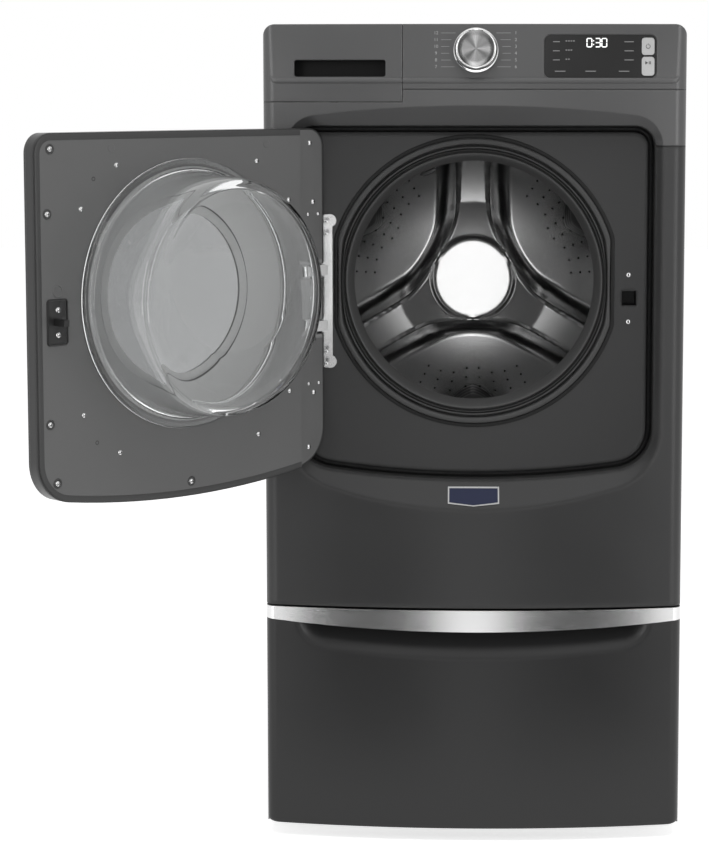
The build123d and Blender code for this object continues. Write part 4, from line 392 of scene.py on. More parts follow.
def build_slot_liner():
    """An open tray of thin near-black walls, a little smaller than the slot, with its rim behind the lip:
    painted shade.
    """
    rings = []
    for shrink, depth in ((SHADE_SHEET_GAP, SLOT_DEEP), (SHADE_SHEET_GAP, SLOT_LIP), (SHADE_SHEET_GAP + SHADE_SHEET_THICK, SLOT_LIP),
                          (SHADE_SHEET_GAP + SHADE_SHEET_THICK, SLOT_DEEP - SHADE_SHEET_THICK)):
        outline = rounded_ring(SLOT_MIDDLE, SLOT_HALF_W - shrink, SLOT_HALF_H - shrink, SLOT_CORNER, 0, 4)
        rings.append([Vector((x, face_y(x, z) + depth, z)) for x, z in outline])
    return skin_over("dispenser_slot_liner", rings, slot_black, loop=False)


fit(build_slot_liner(), "dispenser", "black_plastic")

# ---- Display and keys ------------------------------------
# A gloss black window with its lit figures and dim status marks printed behind it, and two
# pale keys let into its right end, each with a plain symbol.
display_black = coated("display_black", grey(44), 0.16, cloud=0.04, bump=0.02, coat=0.4)
dress(display_black, "display_window")
key_skin = coated("key_skin", grey(178), 0.3, cloud=0.05, bump=0.05, metal=0.3)
dress(key_skin, "power_button", "start_button")
INK = 0.00025


def printed(name, shapes, finish, proud=0.0):
    """Flat print on the console face, from outlines of (x, z) points, raised by an ink's thickness."""
    points, faces = [], []
    for shape in shapes:
        faces += skin_faces(2, len(shape), loop=False, start=len(points))
        for lift in (INK, -proud - INK):
            points += [Vector((x, face_y(x, z) + lift, z)) for x, z in shape]
    return new_piece(name, points, faces, finish, sharp=20)


def bar(x, z, width, height):
    """Outline of a small upright rectangle about its middle."""
    w, h = width / 2, height / 2
    return [(x - w, z - h), (x + w, z - h), (x + w, z + h), (x - w, z + h)]


def lit(name, shade, glow):
    """Finish of a printed or lit mark, faintly uneven like ink on film."""
    material, tree, surface = finish_start(name)
    pattern(tree, surface, coating_grain, 0.02, 0.0001, Shade=shade, Cloud=0.05, Grain_Size=2000.0, Gloss=0.5)
    feed_all(tree, surface, Emission_Color=shade, Emission_Strength=glow)
    return material


figure_white = lit("figure_white", grey(235), 0.6)
status_dim = lit("status_dim", grey(120), 0.1)
symbol_dark = coated("symbol_dark", grey(45), 0.5)

FIGURE_HEIGHT = 0.0135
FIGURE_WIDTH = 0.0078
STROKE = 0.0016
COLON_HALF = 0.003
FIGURE_Z = TOP - 0.0300
FIGURE_X = (0.1840, 0.1975, 0.2080)
SEGMENTS = {"0": "abcdef", "3": "abcdg"}
PRINT_PROUD = 0.0002


def seven_segment(figure, x):
    """The lit strokes of one figure, its middle at x."""
    w, h = FIGURE_WIDTH / 2, FIGURE_HEIGHT / 2
    tall, wide = h - STROKE * 0.7, FIGURE_WIDTH - STROKE * 0.8
    strokes = {
        "a": bar(x, FIGURE_Z + h, wide, STROKE), "g": bar(x, FIGURE_Z, wide, STROKE),
        "d": bar(x, FIGURE_Z - h, wide, STROKE), "b": bar(x + w, FIGURE_Z + h / 2, STROKE, tall),
        "c": bar(x + w, FIGURE_Z - h / 2, STROKE, tall), "f": bar(x - w, FIGURE_Z + h / 2, STROKE, tall),
        "e": bar(x - w, FIGURE_Z - h / 2, STROKE, tall)}
    return [strokes[letter] for letter in SEGMENTS[figure]]


colon_x = (FIGURE_X[0] + FIGURE_X[1]) / 2
time_strokes = [bar(colon_x, FIGURE_Z + side * COLON_HALF, STROKE, STROKE) for side in (-1, 1)]
for figure, x in zip("030", FIGURE_X):
    time_strokes += seven_segment(figure, x)
fit(printed("display_time", time_strokes, figure_white, PRINT_PROUD), "cabinet", "key_plastic")

MARK_THICK = 0.0012
MARK_ROW = 0.0145
status_marks = []
for row in range(3):
    row_z = TOP - 0.0285 - MARK_ROW * row
    status_marks += [bar(0.1310, row_z, 0.0110, MARK_THICK), bar(0.2480, row_z, 0.0150, MARK_THICK)]
    status_marks += [bar(0.1470 + 0.0040 * step, row_z + 0.0012, 0.0026, 0.0016) for step in range(4 - row)]
status_marks += [bar(x, TOP - 0.0755, 0.0170, MARK_THICK) for x in (0.1370, 0.1860, 0.2400)]
fit(printed("display_status_marks", status_marks, status_dim, PRINT_PROUD), "cabinet", "key_plastic")


def arc_strip(x, z, radius, width, first, last):
    """Outline of a curved strip between two angles in degrees."""
    turns = [math.radians(first + (last - first) * step / 16) for step in range(17)]
    outer, inner = [[(x + reach * math.cos(turn), z + reach * math.sin(turn)) for turn in turns]
                    for reach in (radius + width / 2, radius - width / 2)]
    return outer + inner[::-1]


KEY_X = 0.27875
KEY_PROUD = 0.0008
POWER_Z = TOP - 0.0358
PLAY_Z = TOP - 0.0620
power_symbol = [arc_strip(KEY_X, POWER_Z, 0.0033, 0.0009, 120, 420),
                bar(KEY_X, POWER_Z + 0.0032, 0.0009, 0.0034)]
play_arrow = [(KEY_X - 0.0045, PLAY_Z - 0.0026), (KEY_X - 0.0002, PLAY_Z), (KEY_X - 0.0045, PLAY_Z + 0.0026)]
play_symbol = [play_arrow] + [bar(KEY_X + along, PLAY_Z, 0.0011, 0.0050) for along in (0.0018, 0.0040)]
fit(printed("power_key_symbol", power_symbol, symbol_dark, KEY_PROUD), "power_button", "key_plastic")
fit(printed("start_key_symbol", play_symbol, symbol_dark, KEY_PROUD), "start_button", "key_plastic")

# ---- Dial ring print -------------------------------------
# Twelve fine pointer lines run out from the knob, six a side, each ending in a plain number.
# They are printed on the fascia in pale grey ink.
ink_pale = lit("ink_pale", grey(150), 0.0)
dial = joints["cycle_knob_turn"]
DIAL = Vector(dial["pos_m"])
DIAL_ROWS = 6
ROW_PITCH = 0.0108
LINE_START = 0.043
LINE_END = 0.056
NUMBER_SIZE = 0.0072


def number_outlines(label, x, z):
    """Faces of a plain number, as outlines on the console face."""
    text = bpy.data.curves.new("dial_number", "FONT")
    text.body = label
    text.size = NUMBER_SIZE
    text.align_x = "CENTER"
    text.align_y = "CENTER"
    holder = bpy.data.objects.new("dial_number", text)
    mesh = bpy.data.meshes.new_from_object(holder)
    outlines = [[(x + mesh.vertices[corner].co.x, z + mesh.vertices[corner].co.y) for corner in face.vertices]
                for face in mesh.polygons]
    bpy.data.objects.remove(holder)
    return outlines


dial_lines = []
dial_numbers = []
for row in range(DIAL_ROWS):
    row_z = DIAL.z + 0.001 + ROW_PITCH * ((DIAL_ROWS - 1) / 2 - row)
    reach = math.sqrt(LINE_START ** 2 - min(abs(row_z - DIAL.z), 0.036) ** 2)
    for side, number in ((-1, DIAL_ROWS * 2 - row), (1, row + 1)):
        x_from, x_to = DIAL.x + side * reach, DIAL.x + side * LINE_END
        dial_lines.append(bar((x_from + x_to) / 2, row_z, abs(x_to - x_from), 0.0005))
        dial_numbers += number_outlines(str(number), DIAL.x + side * (LINE_END + 0.008), row_z)
fit(printed("dial_lines", dial_lines, ink_pale), "cabinet", "console_paint")
fit(printed("dial_numbers", dial_numbers, ink_pale), "cabinet", "console_paint")

# ---- Cycle knob ------------------------------------------
# A spun metal cap on a chromed skirt: a slightly dished face with fine turning lines and light and dark
# wedges of painted reflection, a bright rounded rim, and a waist above the fixed trim ring.


def build_turning_lines():
    """Fine rings about local Z, as a lathe leaves on a metal face, with broad light and dark wedges of
    painted reflection.
    """
    group, given, made = pattern_group("turning_lines", Wedge=0.3, Place=(0.0, 0.0, 0.0))
    place = node(group, "ShaderNodeSeparateXYZ", Vector=given["Place"])
    turn = worked(group, "ARCTAN2", place["Y"], place["X"])
    flat = node(group, "ShaderNodeCombineXYZ", X=place["X"], Y=place["Y"])[0]
    reach = node(group, "ShaderNodeVectorMath", {"operation": "LENGTH"}, Vector=flat)["Value"]
    # The wedges below are painted reflection: light and dark spokes by angle, standing for a turned face's
    # radial highlights.
    spoke = worked(group, "COSINE", times(group, turn, 4.0))
    finer = worked(group, "COSINE", plus(group, times(group, turn, 7.0), 0.7))
    sheen_wedge = times(group, plus(group, spoke, times(group, finer, 0.6)), given["Wedge"])
    along = node(group, "ShaderNodeCombineXYZ", X=times(group, reach, 4000.0))[0]
    rings = cloudy(group, along, 1.0, 2.0)
    tone = times(group, plus(group, sheen_wedge, 1.0), spread(group, rings, 0.93, 1.07))
    return end_pattern(group, given, made, tone, rings, 0.15, rings)


turning_lines = build_turning_lines()


def axis_place(origin, way):
    """The frame of a turned piece: local Z along its axis, local Y as near up as it can be."""
    along = Vector(way).normalized()
    across = Vector((0, 0, 1)).cross(along).normalized()
    up = along.cross(across)
    place = Matrix((across, up, along)).transposed().to_4x4()
    place.translation = Vector(origin)
    return place


def spun(name, shade, gloss, sheen_wedge, place):
    """Finish of a metal face turned on a lathe about a place's Z axis, with wedges of painted reflection."""
    material, tree, surface = finish_start(name)
    here = node(tree, "ShaderNodeTexCoord")["Object"]
    centred = node(tree, "ShaderNodeMapping", {"vector_type": "TEXTURE"}, Vector=here,
                   Location=place.translation, Rotation=place.to_euler())[0]
    pattern(tree, surface, turning_lines, 0.05, 0.0001, Shade=shade, Wedge=sheen_wedge, Gloss=gloss, Place=centred)
    feed_all(tree, surface, Metallic=1.0)
    return material


def softened(outline, rounds=2, closed=True):
    """An outline with its corners cut again and again until it flows."""
    for _ in range(rounds):
        cut = []
        for step in range(len(outline) if closed else len(outline) - 1):
            here, ahead = outline[step], outline[(step + 1) % len(outline)]
            cut.append(tuple(0.75 * a + 0.25 * b for a, b in zip(here, ahead)))
            cut.append(tuple(0.25 * a + 0.75 * b for a, b in zip(here, ahead)))
        outline = cut if closed else [outline[0]] + cut[1:-1] + [outline[-1]]
    return outline


def full_turn(steps):
    """The angles of a full turn in even steps."""
    return [2 * math.pi * step / steps for step in range(steps)]


def turned_piece(name, outline, place, finish, steps=128, closed=True, sharp=35):
    """A piece turned about its place's Z axis from an outline of (along, radius) in millimetres."""
    rings = [[place @ (Vector((radius * math.cos(turn), radius * math.sin(turn), along)) * MM)
              for along, radius in outline] for turn in full_turn(steps)]
    return skin_over(name, rings, finish, wrap=closed, sharp=sharp)


knob_place = axis_place(dial["pos_m"], dial["axis"])
knob_spun = spun("knob_spun", grey(150), 0.22, 0.3, knob_place)
knob_chrome = spun("knob_chrome", grey(235), 0.08, 0.02, knob_place)
knob_body = softened([(8.2, 5), (8.2, 33.4), (12, 33.0), (20, 32.6), (22.5, 32.4), (23.4, 31.8), (23.6, 30.6),
                      (23.0, 29.6), (22.6, 29.4)], 2, closed=False)
knob_outline = [(8.2, 0)] + knob_body + [(21, 29.2), (21, 0)]
knob_shell = turned_piece("cycle_knob_shell", knob_outline, knob_place, knob_chrome, closed=False)
fit(knob_shell, "cycle_knob", "knob_metal", "cycle_knob")
face_outline = [(21.2, 0), (21.2, 29.4), (22.5, 29.4), (22.7, 28.8), (22.5, 20), (22.35, 10), (22.3, 0)]
knob_face = turned_piece("cycle_knob_face", face_outline, knob_place, knob_spun, closed=False)
fit(knob_face, "cycle_knob", "knob_metal")
skirt_outline = softened([(0.6, 6), (0.6, 36.9), (3, 36.9), (5, 36.2), (6.4, 34.8), (7.4, 34.0), (7.4, 6)], 2)
knob_skirt = turned_piece("knob_skirt", skirt_outline, knob_place, knob_chrome)
fit(knob_skirt, "cycle_knob", "knob_trim", "knob_ring")

# ---- Name plate ------------------------------------------
# A bare pressed plate on the bevel below the door: a bright rim round a plain dark field.


def build_brushed_lines():
    """Fine parallel scratches along one direction, as a belt leaves them on metal."""
    group, given, made = pattern_group("brushed_lines", Stretch=(3.0, 900.0, 900.0), Contrast=0.15)
    place = node(group, "ShaderNodeTexCoord")["Object"]
    stretched = node(group, "ShaderNodeMapping", Vector=place, Scale=given["Stretch"])[0]
    lines = cloudy(group, stretched, 1.0, 3.0)
    return end_pattern(group, given, made, spread_by(group, lines, given["Contrast"]), lines, 0.15, lines)


brushed_lines = build_brushed_lines()


def brushed(name, shade, gloss, stretch=(3, 900, 900), contrast=0.1, bump=0.06):
    """Finish of a brushed or plated metal surface."""
    material, tree, surface = finish_start(name)
    pattern(tree, surface, brushed_lines, bump, 0.0002, Shade=shade, Stretch=stretch, Contrast=contrast,
            Gloss=gloss)
    feed_all(tree, surface, Metallic=1.0)
    return material


plate_rim = brushed("plate_rim", grey(190), 0.3, stretch=(300, 300, 300), contrast=0.05)
dress(plate_rim, "badge_plate")
plate_field = coated("plate_field", grey(28, 0.7, 3.0), 0.3, cloud=0.05, shine=0.3)
badge_low, badge_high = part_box("badge_plate")
FIELD_EDGE = 0.0022
FIELD_PROUD = 0.0012
FIELD_SUNK = 0.0004
POINT_DROP = 0.004
PLATE_THICK = 0.002
BEVEL_IN = 0.037
BEVEL_LOW = 0.046
POCKET_LOW_Z = badge_high.z + 0.0105


def build_plate_field():
    """The enamel field: the plate's outline moved in, laid on the plate's sloping face."""
    left, right, top = badge_low.x + FIELD_EDGE, badge_high.x - FIELD_EDGE, badge_high.z - FIELD_EDGE
    low = badge_low.z + FIELD_EDGE
    outline = [(left, top), (right, top), (right, low + POINT_DROP), (0, low), (left, low + POINT_DROP)]
    slope = [FRONT + BEVEL_IN * (1 - (POCKET_LOW_Z - z) / BEVEL_LOW) - PLATE_THICK for _, z in outline]
    rings = [[Vector((x, y + proud, z)) for (x, z), y in zip(outline, slope)]
             for proud in (FIELD_PROUD, -FIELD_SUNK)]
    return skin_over("plate_field", rings, plate_field, loop=False)


fit(build_plate_field(), "cabinet", "galvanised_steel")

# ---- Door liner ------------------------------------------
# A moulded grey liner closes the door's back. Its edge dips under a dark rolled return of the
# outer shell; plugs, sink marks and screw wells break up its flat field.
liner_skin = coated("liner_skin", grey(78), 0.34, cloud=0.03, grain=700.0, bump=0.12, shine=0.6)
dress(liner_skin, "door_inner_panel")
return_coat = coated("return_coat", grey(50), 0.36, cloud=0.03, grain=1400.0, shine=0.4)
# Near-black painted shade for the dark insides of the liner's two holes, the hinge plates' slots and the
# screws' cross recesses.
well_black = coated("well_black", grey(26), 0.6, cloud=0.05)

hinge = joints["door_hinge"]
hinge_pin = Matrix.Translation(Vector(hinge["pos_m"]))
swing_open = hinge_pin @ Matrix.Rotation(-math.radians(hinge["range_deg"][1]), 4, "Z") @ hinge_pin.inverted()
FLOOR_Y = joints["drum_turn"]["pos_m"][1]
PORT_Z = joints["drum_turn"]["pos_m"][2]
LINER_Y = FLOOR_Y - 0.009
STEP_Y = LINER_Y - 0.010
DOOR_HALF = 0.290
STEP_X = -DOOR_HALF + 0.058
DOOR_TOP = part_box("door_outer_panel")[1].z
DOOR_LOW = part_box("door_outer_panel")[0].z
BOTTOM_CURVE = 1.590
TOP_ROUND = 0.030
LOW_ROUND = 0.063


def hang(piece, slot, *replaced):
    """Swing a piece that was made on the closed door out to the open stop, and fasten it to the door."""
    piece.data.transform(swing_open)
    fit(piece, "door", slot, *replaced)
    return piece


def arc_run(centre_x, centre_z, radius, first, last, steps):
    """Points (x, z) along an arc, its angles measured from straight up and clockwise."""
    turns = [first + (last - first) * step / steps for step in range(steps + 1)]
    return [(centre_x + radius * math.sin(turn), centre_z + radius * math.cos(turn)) for turn in turns]


def door_edge(inset):
    """The closed door's outline from the hinge step over the top, down the lock side and back below."""
    start_x = STEP_X + 0.001
    half, top = DOOR_HALF - inset, DOOR_TOP - inset
    curve, curve_z = BOTTOM_CURVE - inset, DOOR_LOW + BOTTOM_CURVE
    top_r, low_r = TOP_ROUND - inset, LOW_ROUND - inset
    line = [(start_x + (half - top_r - STEP_X) * step / 20, top) for step in range(20)]
    line += arc_run(half - top_r, top - top_r, top_r, 0, math.pi / 2, 10)
    corner_x = half - low_r
    corner_z = curve_z - math.sqrt((curve - low_r) ** 2 - corner_x ** 2)
    side_top = top - top_r
    line += [(half, side_top + (corner_z - side_top) * step / 20) for step in range(1, 20)]
    last = math.atan2(corner_x, curve_z - corner_z)
    line += arc_run(corner_x, corner_z, low_r, math.pi / 2, math.pi - last, 12)
    return line + arc_run(0, curve_z, curve, math.pi - last, math.pi - math.asin(start_x / curve), 24)[1:]


return_section = [(0.0002, -0.0050), (0.0002, -0.0012), (0.0016, 0.0002), (0.0030, 0.0006), (0.0085, 0.0006),
                  (0.0105, 0.0003), (0.0110, -0.0010), (0.0110, -0.0020)]
return_lines = [[Vector((x, LINER_Y + lift, z)) for x, z in door_edge(inset)]
                for inset, lift in return_section]
return_rings = [list(ring) for ring in zip(*return_lines)]
hang(skin_over("door_edge_return", return_rings, return_coat, loop=False), "graphite_paint")


def liner_round(name, outline, x, z, finish, slot="door_liner_plastic"):
    """A small turned feature standing on the liner, from (height, radius) in millimetres."""
    place = axis_place((x, LINER_Y, z), (0, 1, 0))
    hang(turned_piece(name, outline, place, finish, steps=40), slot)


ring_bead = softened([(-0.6, 7.2), (0.5, 7.4), (0.9, 8.2), (0.5, 9.0), (-0.6, 9.2)], 1)
plug = [(-0.5, 0.01), (-0.5, 6.6), (0.2, 6.5), (0.5, 6.0), (0.35, 5.2), (0.35, 0.01)]
eye = [(-0.4, 0.01), (-0.4, 3.4), (0.15, 3.2), (0.15, 2.4), (-0.2, 1.9), (-0.2, 0.01)]
liner_round("door_liner_ring_mark", ring_bead, 0.251, 0.947, liner_skin)
liner_round("door_liner_plug_right", plug, 0.148, 1.155, liner_skin)
liner_round("door_liner_plug_left", plug, -0.160, 1.156, liner_skin)
# The liner's two holes are near-black eyes: painted shade for their dark insides.
liner_round("door_liner_hole_upper", eye, 0.182, 1.110, well_black, "black_plastic")
liner_round("door_liner_hole_lower", eye, 0.182, 0.714, well_black, "black_plastic")


def rounded_block(name, low, high, finish, edge=0.0008):
    """A block between two corners with softly rolled edges."""
    work = bmesh.new()
    bmesh.ops.create_cube(work, size=1.0)
    size = Vector(high) - Vector(low)
    middle = (Vector(high) + Vector(low)) / 2
    for corner in work.verts:
        corner.co = corner.co * size + middle
    bmesh.ops.bevel(work, geom=work.edges[:] + work.verts[:], offset=edge, segments=3, profile=0.5,
                    affect="EDGES")
    mesh = bpy.data.meshes.new(name)
    work.to_mesh(mesh)
    work.free()
    return smooth_piece(name, mesh, finish)


hinge_plate_skin = coated("hinge_plate_skin", grey(118), 0.4, cloud=0.03, grain=700.0, bump=0.12, shine=0.4)
HINGE_Z = PORT_Z - 0.0265
ARM_MIDDLES = (HINGE_Z - 0.04575, HINGE_Z + 0.04575)
PLATE_X = (-0.2870, -0.2480)
PLATE_REACH = 0.064
PLATE_SUNK = 0.001
PLATE_PROUD = 0.0008
ARM_CLEAR = 0.0125
MARK_X = (-0.2725, -0.2695)
MARK_FROM_ARM = 0.0185
MARK_HALF = 0.0035
MARK_PROUD = 0.001
plate_cuts = [HINGE_Z - PLATE_REACH, ARM_MIDDLES[0] - ARM_CLEAR, ARM_MIDDLES[0] + ARM_CLEAR,
              ARM_MIDDLES[1] - ARM_CLEAR, ARM_MIDDLES[1] + ARM_CLEAR, HINGE_Z + PLATE_REACH]
for part, low_z, high_z in zip(("lower", "middle", "upper"), plate_cuts[::2], plate_cuts[1::2]):
    low, high = (PLATE_X[0], STEP_Y - PLATE_SUNK, low_z), (PLATE_X[1], STEP_Y + PLATE_PROUD, high_z)
    hang(rounded_block("hinge_plate_" + part, low, high, hinge_plate_skin), "door_liner_plastic")
# The slots above and below each hinge arm are thin near-black blocks: painted shade for the slots' dark
# insides.
for middle, arm in zip(ARM_MIDDLES, ("_lower", "_upper")):
    for side, part in ((-1, "below"), (1, "above")):
        z = middle + side * MARK_FROM_ARM
        low, high = (MARK_X[0], STEP_Y, z - MARK_HALF), (MARK_X[1], STEP_Y + MARK_PROUD, z + MARK_HALF)
        hang(rounded_block("hinge_slot_" + part + arm, low, high, well_black, 0.0004), "black_plastic")

# ---- Door glass ------------------------------------------
# A heavy pressed glass bowl seats in the liner behind a moulded retainer, and a curved tinted
# window closes the opening in the outer shell.


def glassy(name, tint, gloss, index=1.5):
    """Finish of clear or tinted glass, with a trace of smear in its gloss."""
    material, tree, surface = finish_start(name)
    smear = cloudy(tree, node(tree, "ShaderNodeTexCoord")["Object"], 14.0, 3.0)
    feed_all(tree, surface, Roughness=spread(tree, smear, gloss, gloss * 2), Base_Color=tint,
             Transmission_Weight=1.0, IOR=index)
    return material


bowl_glass = glassy("bowl_glass", (0.96, 0.97, 0.97, 1), 0.012)
window_tint = glassy("window_tint", (0.28, 0.283, 0.286, 1), 0.02)
dress(window_tint, "door_window")
bowl_section = softened([
    (99.5, 0, 36), (99.5, 70, 36), (99.6, 122, 35.5), (101.5, 132, 34), (104, 148, 18), (105.6, 166, 4),
    (104.6, 174, 0), (100, 179, 0), (92, 181, 0), (60, 184, 0), (30, 187, 0), (4, 190.5, 0), (-1.5, 194, 0),
    (-2.2, 200, 0), (-3, 206, 0), (-6, 208.9, 0), (-8.9, 208.9, 0), (-8.9, 197, 0), (-11.9, 197, 0),
    (-11.9, 191.2, 0), (-2, 187, 0), (30, 182.5, 0), (60, 179.5, 0), (88, 176, 0), (96, 171, 0),
    (99.4, 164, 4), (98, 148, 18), (96, 131, 34), (94.6, 120, 35.5), (94.5, 70, 36), (94.5, 0, 36)],
    2, closed=False)


def port_point(radius, turn, depth, lift=0.0):
    """A point at a radius and an angle about the porthole, a depth behind the pocket's floor."""
    return Vector((radius * math.cos(turn), FLOOR_Y + depth, PORT_Z + radius * math.sin(turn) + lift))


bowl_rings = [[port_point(radius * MM, turn, depth * MM, lift * MM) for depth, radius, lift in bowl_section]
              for turn in full_turn(180)]
hang(skin_over("door_glass_bowl", bowl_rings, bowl_glass, wrap=False, sharp=50), "clear_glass", "door_bowl")
funnel_skin = coated("funnel_skin", grey(168), 0.45, cloud=0.03, grain=700.0, shine=0.4)
dress(funnel_skin, "bowl_retainer")
BOND_INNER_R, BOND_OUTER_R = 0.1300, 0.1440
BOND_THICK = 0.0012
WINDOW_INSIDE = FRONT + 0.0060
bond_section = [(BOND_INNER_R, 0), (BOND_OUTER_R, 0), (BOND_OUTER_R, BOND_THICK), (BOND_INNER_R, BOND_THICK)]


def window_depth(radius, turn):
    """Depth of the bowed window's inside behind the pocket's floor."""
    return WINDOW_INSIDE + bow_depth(radius * math.cos(turn), LOW_BOW) - FLOOR_Y


bond_rings = [[port_point(radius, turn, window_depth(radius, turn) + back) for radius, back in bond_section]
              for turn in full_turn(120)]
hang(skin_over("window_bonding_ring", bond_rings, funnel_skin, sharp=30), "door_liner_plastic")

# ---- Hinge and strike ------------------------------------
# Plated steel: a flanged bracket on the cabinet, two cranked arms from a leaf inside the door,
# and the lock's hook standing in a black moulded strike recess.
plated_steel = brushed("plated_steel", grey(196), 0.22, stretch=(60, 60, 60), contrast=0.04)
dress(plated_steel, "hinge_bracket", "hinge_pins", "hinge_leaf")
strike_black = coated("strike_black", grey(40), 0.35, cloud=0.08, grain=900.0, metal=0.4)
dress(strike_black, "strike_hook")
STRIKE = (0.252, PORT_Z - 0.0275)
STRIKE_HALF_W = 0.0165
STRIKE_HALF_H = 0.032
STRIKE_CORNER = 0.003


def build_strike_frame():
    """A low raised frame with rounded corners round the strike plate."""
    rings = []
    for grow, lift in ((0.0, 0.0004), (0.0002, 0.002), (0.0012, 0.0024), (0.0024, 0.0018), (0.003, 0.0002)):
        outline = rounded_ring(STRIKE, STRIKE_HALF_W, STRIKE_HALF_H, STRIKE_CORNER, grow, 6)
        rings.append([Vector((x, LINER_Y + lift, z)) for x, z in outline])
    return skin_over("strike_frame", [list(row) for row in zip(*rings)], strike_black)


hang(build_strike_frame(), "black_plastic")

# ---- Screws ----------------------------------------------
# Pan head screws with a cross recess, one tree for all of them; the recess is a near-black raised cross,
# painted shade for the cut's dark inside. The door's edge screws and low screw sit in dark moulded
# wells; the rest lie straight on the liner or the pocket's floor.
screw_zinc = brushed("screw_zinc", grey(215), 0.22, stretch=(300, 300, 300), contrast=0.05)
dress(screw_zinc, "door_screws", "front_screws", "cabinet_screws")
CROSS_LONG = 0.95
CROSS_WIDE = 0.22
CROSS_TALL = 0.5
CROSS_LIFT = 0.78


def growth_tree(name, **inputs):
    """An empty geometry tree with a Geometry socket each way and named inputs."""
    return new_group(name, "GeometryNodeTree", {"Geometry": "Geometry"}, Geometry="Geometry", **inputs)


def joined(tree, *parts):
    """Several geometries as one."""
    join = tree.nodes.new("GeometryNodeJoinGeometry")
    for part in parts:
        tree.links.new(part, join.inputs[0])
    return join.outputs[0]


def coloured(tree, geometry, finish):
    """A geometry with its finish."""
    return node(tree, "GeometryNodeSetMaterial", Geometry=geometry, Material=finish)[0]


def instanced(tree, made, spots, shape, facing):
    """End a tree with its shape set on every spot, as real geometry."""
    copies = node(tree, "GeometryNodeInstanceOnPoints", Points=spots, Instance=shape, Rotation=facing)[0]
    feed_all(tree, made, Geometry=node(tree, "GeometryNodeRealizeInstances", Geometry=copies)[0])
    return tree


def grown(name, tree, points, **values):
    """A plain mesh piece grown by a geometry tree from a set of points."""
    mesh = bpy.data.meshes.new(name)
    mesh.from_pydata([tuple(point) for point in points], [], [])
    seed = in_scene(name + "_seed", mesh)
    modifier = seed.modifiers.new("grow", "NODES")
    modifier.node_group = tree
    for socket in tree.interface.items_tree:
        label = socket.name.replace(" ", "_")
        if socket.in_out == "INPUT" and label in values:
            modifier[socket.identifier] = values[label]
    bpy.context.view_layer.update()
    solid = bpy.data.meshes.new_from_object(seed.evaluated_get(bpy.context.evaluated_depsgraph_get()))
    bpy.data.objects.remove(seed)
    solid.name = name
    return in_scene(name, solid)


def build_screw_tree():
    """A domed head with a near-black cross of thin blocks at its top, painted shade for a cross cut, set on
    every point.
    """
    tree, given, made = growth_tree("pan_head_screws", Head_Radius=0.0045, Head_Height=0.0026,
                                    Facing=(0.0, 0.0, 0.0), Metal="Material", Recess="Material")
    radius, height = given["Head Radius"], given["Head Height"]
    ball = node(tree, "GeometryNodeMeshUVSphere", Segments=20, Rings=12, Radius=1.0)["Mesh"]
    size = node(tree, "ShaderNodeCombineXYZ", X=radius, Y=radius, Z=height)[0]
    dome = coloured(tree, node(tree, "GeometryNodeTransform", Geometry=ball, Scale=size)[0], given["Metal"])
    lift = node(tree, "ShaderNodeCombineXYZ", Z=times(tree, height, CROSS_LIFT))[0]
    cuts = []
    for wide, tall in ((CROSS_LONG, CROSS_WIDE), (CROSS_WIDE, CROSS_LONG)):
        size = node(tree, "ShaderNodeCombineXYZ", X=times(tree, radius, wide), Y=times(tree, radius, tall),
                    Z=times(tree, height, CROSS_TALL))[0]
        slot = node(tree, "GeometryNodeMeshCube", Size=size)["Mesh"]
        cuts.append(node(tree, "GeometryNodeTransform", Geometry=slot, Translation=lift)[0])
    cross = coloured(tree, joined(tree, *cuts), given["Recess"])
    smooth = node(tree, "GeometryNodeSetShadeSmooth", Geometry=joined(tree, dome, cross))[0]
    spots = node(tree, "GeometryNodeMeshToPoints", Mesh=given["Geometry"])[0]
    facing = node(tree, "FunctionNodeEulerToRotation", Euler=given["Facing"])[0]
    return instanced(tree, made, spots, smooth, facing)


screw_tree = build_screw_tree()
FACE_BACK = (-math.pi / 2, 0, 0)
FACE_FRONT = (math.pi / 2, 0, 0)


def screws(name, points, radius, height, facing):
    """Pan heads standing on a list of points."""
    return grown(name, screw_tree, points, Head_Radius=radius, Head_Height=height, Facing=facing,
                 Metal=screw_zinc, Recess=well_black)

ring_screws = [(side * x, LINER_Y, PORT_Z - 0.016 + up * z)
               for x, z in ((0.139, 0.2175), (0.206, 0.154)) for side in (-1, 1) for up in (-1, 1)]
edge_screws = [(0.261, LINER_Y, 1.1556), (0.2675, LINER_Y, 1.0605), (0.2675, LINER_Y, 0.7495),
               (0.256, LINER_Y, 0.6604), (0.0, LINER_Y, 0.6345)]
plate_screws = [(STRIKE[0], LINER_Y + 0.002, STRIKE[1] + side * 0.0185) for side in (-1, 1)]
step_screws = [(-0.257, STEP_Y, 1.0405), (-0.279, STEP_Y, 1.0405), (-0.257, STEP_Y, 0.764),
               (-0.279, STEP_Y, 0.764), (-0.272, STEP_Y, 0.903)]
step_corners = [(-x, STEP_Y, z) for x, _, z in edge_screws[:4]]
side_screws = edge_screws + plate_screws + step_corners
hang(screws("door_ring_screws", ring_screws, 0.0042, 0.0030, FACE_BACK), "screw_steel", "door_screws")
hang(screws("door_edge_screws", side_screws, 0.0046, 0.0032, FACE_BACK), "screw_steel")
hang(screws("door_hinge_screws", step_screws, 0.0034, 0.0024, FACE_BACK), "screw_steel")
well = softened([(-0.5, 4.6), (0.1, 4.6), (0.7, 5.6), (0.9, 6.6), (0.4, 7.8), (-0.5, 8.0)], 1)
for number, (x, y, z) in enumerate(edge_screws):
    liner_round("door_screw_well_%d" % (number + 1), well, x, z, return_coat, "graphite_paint")

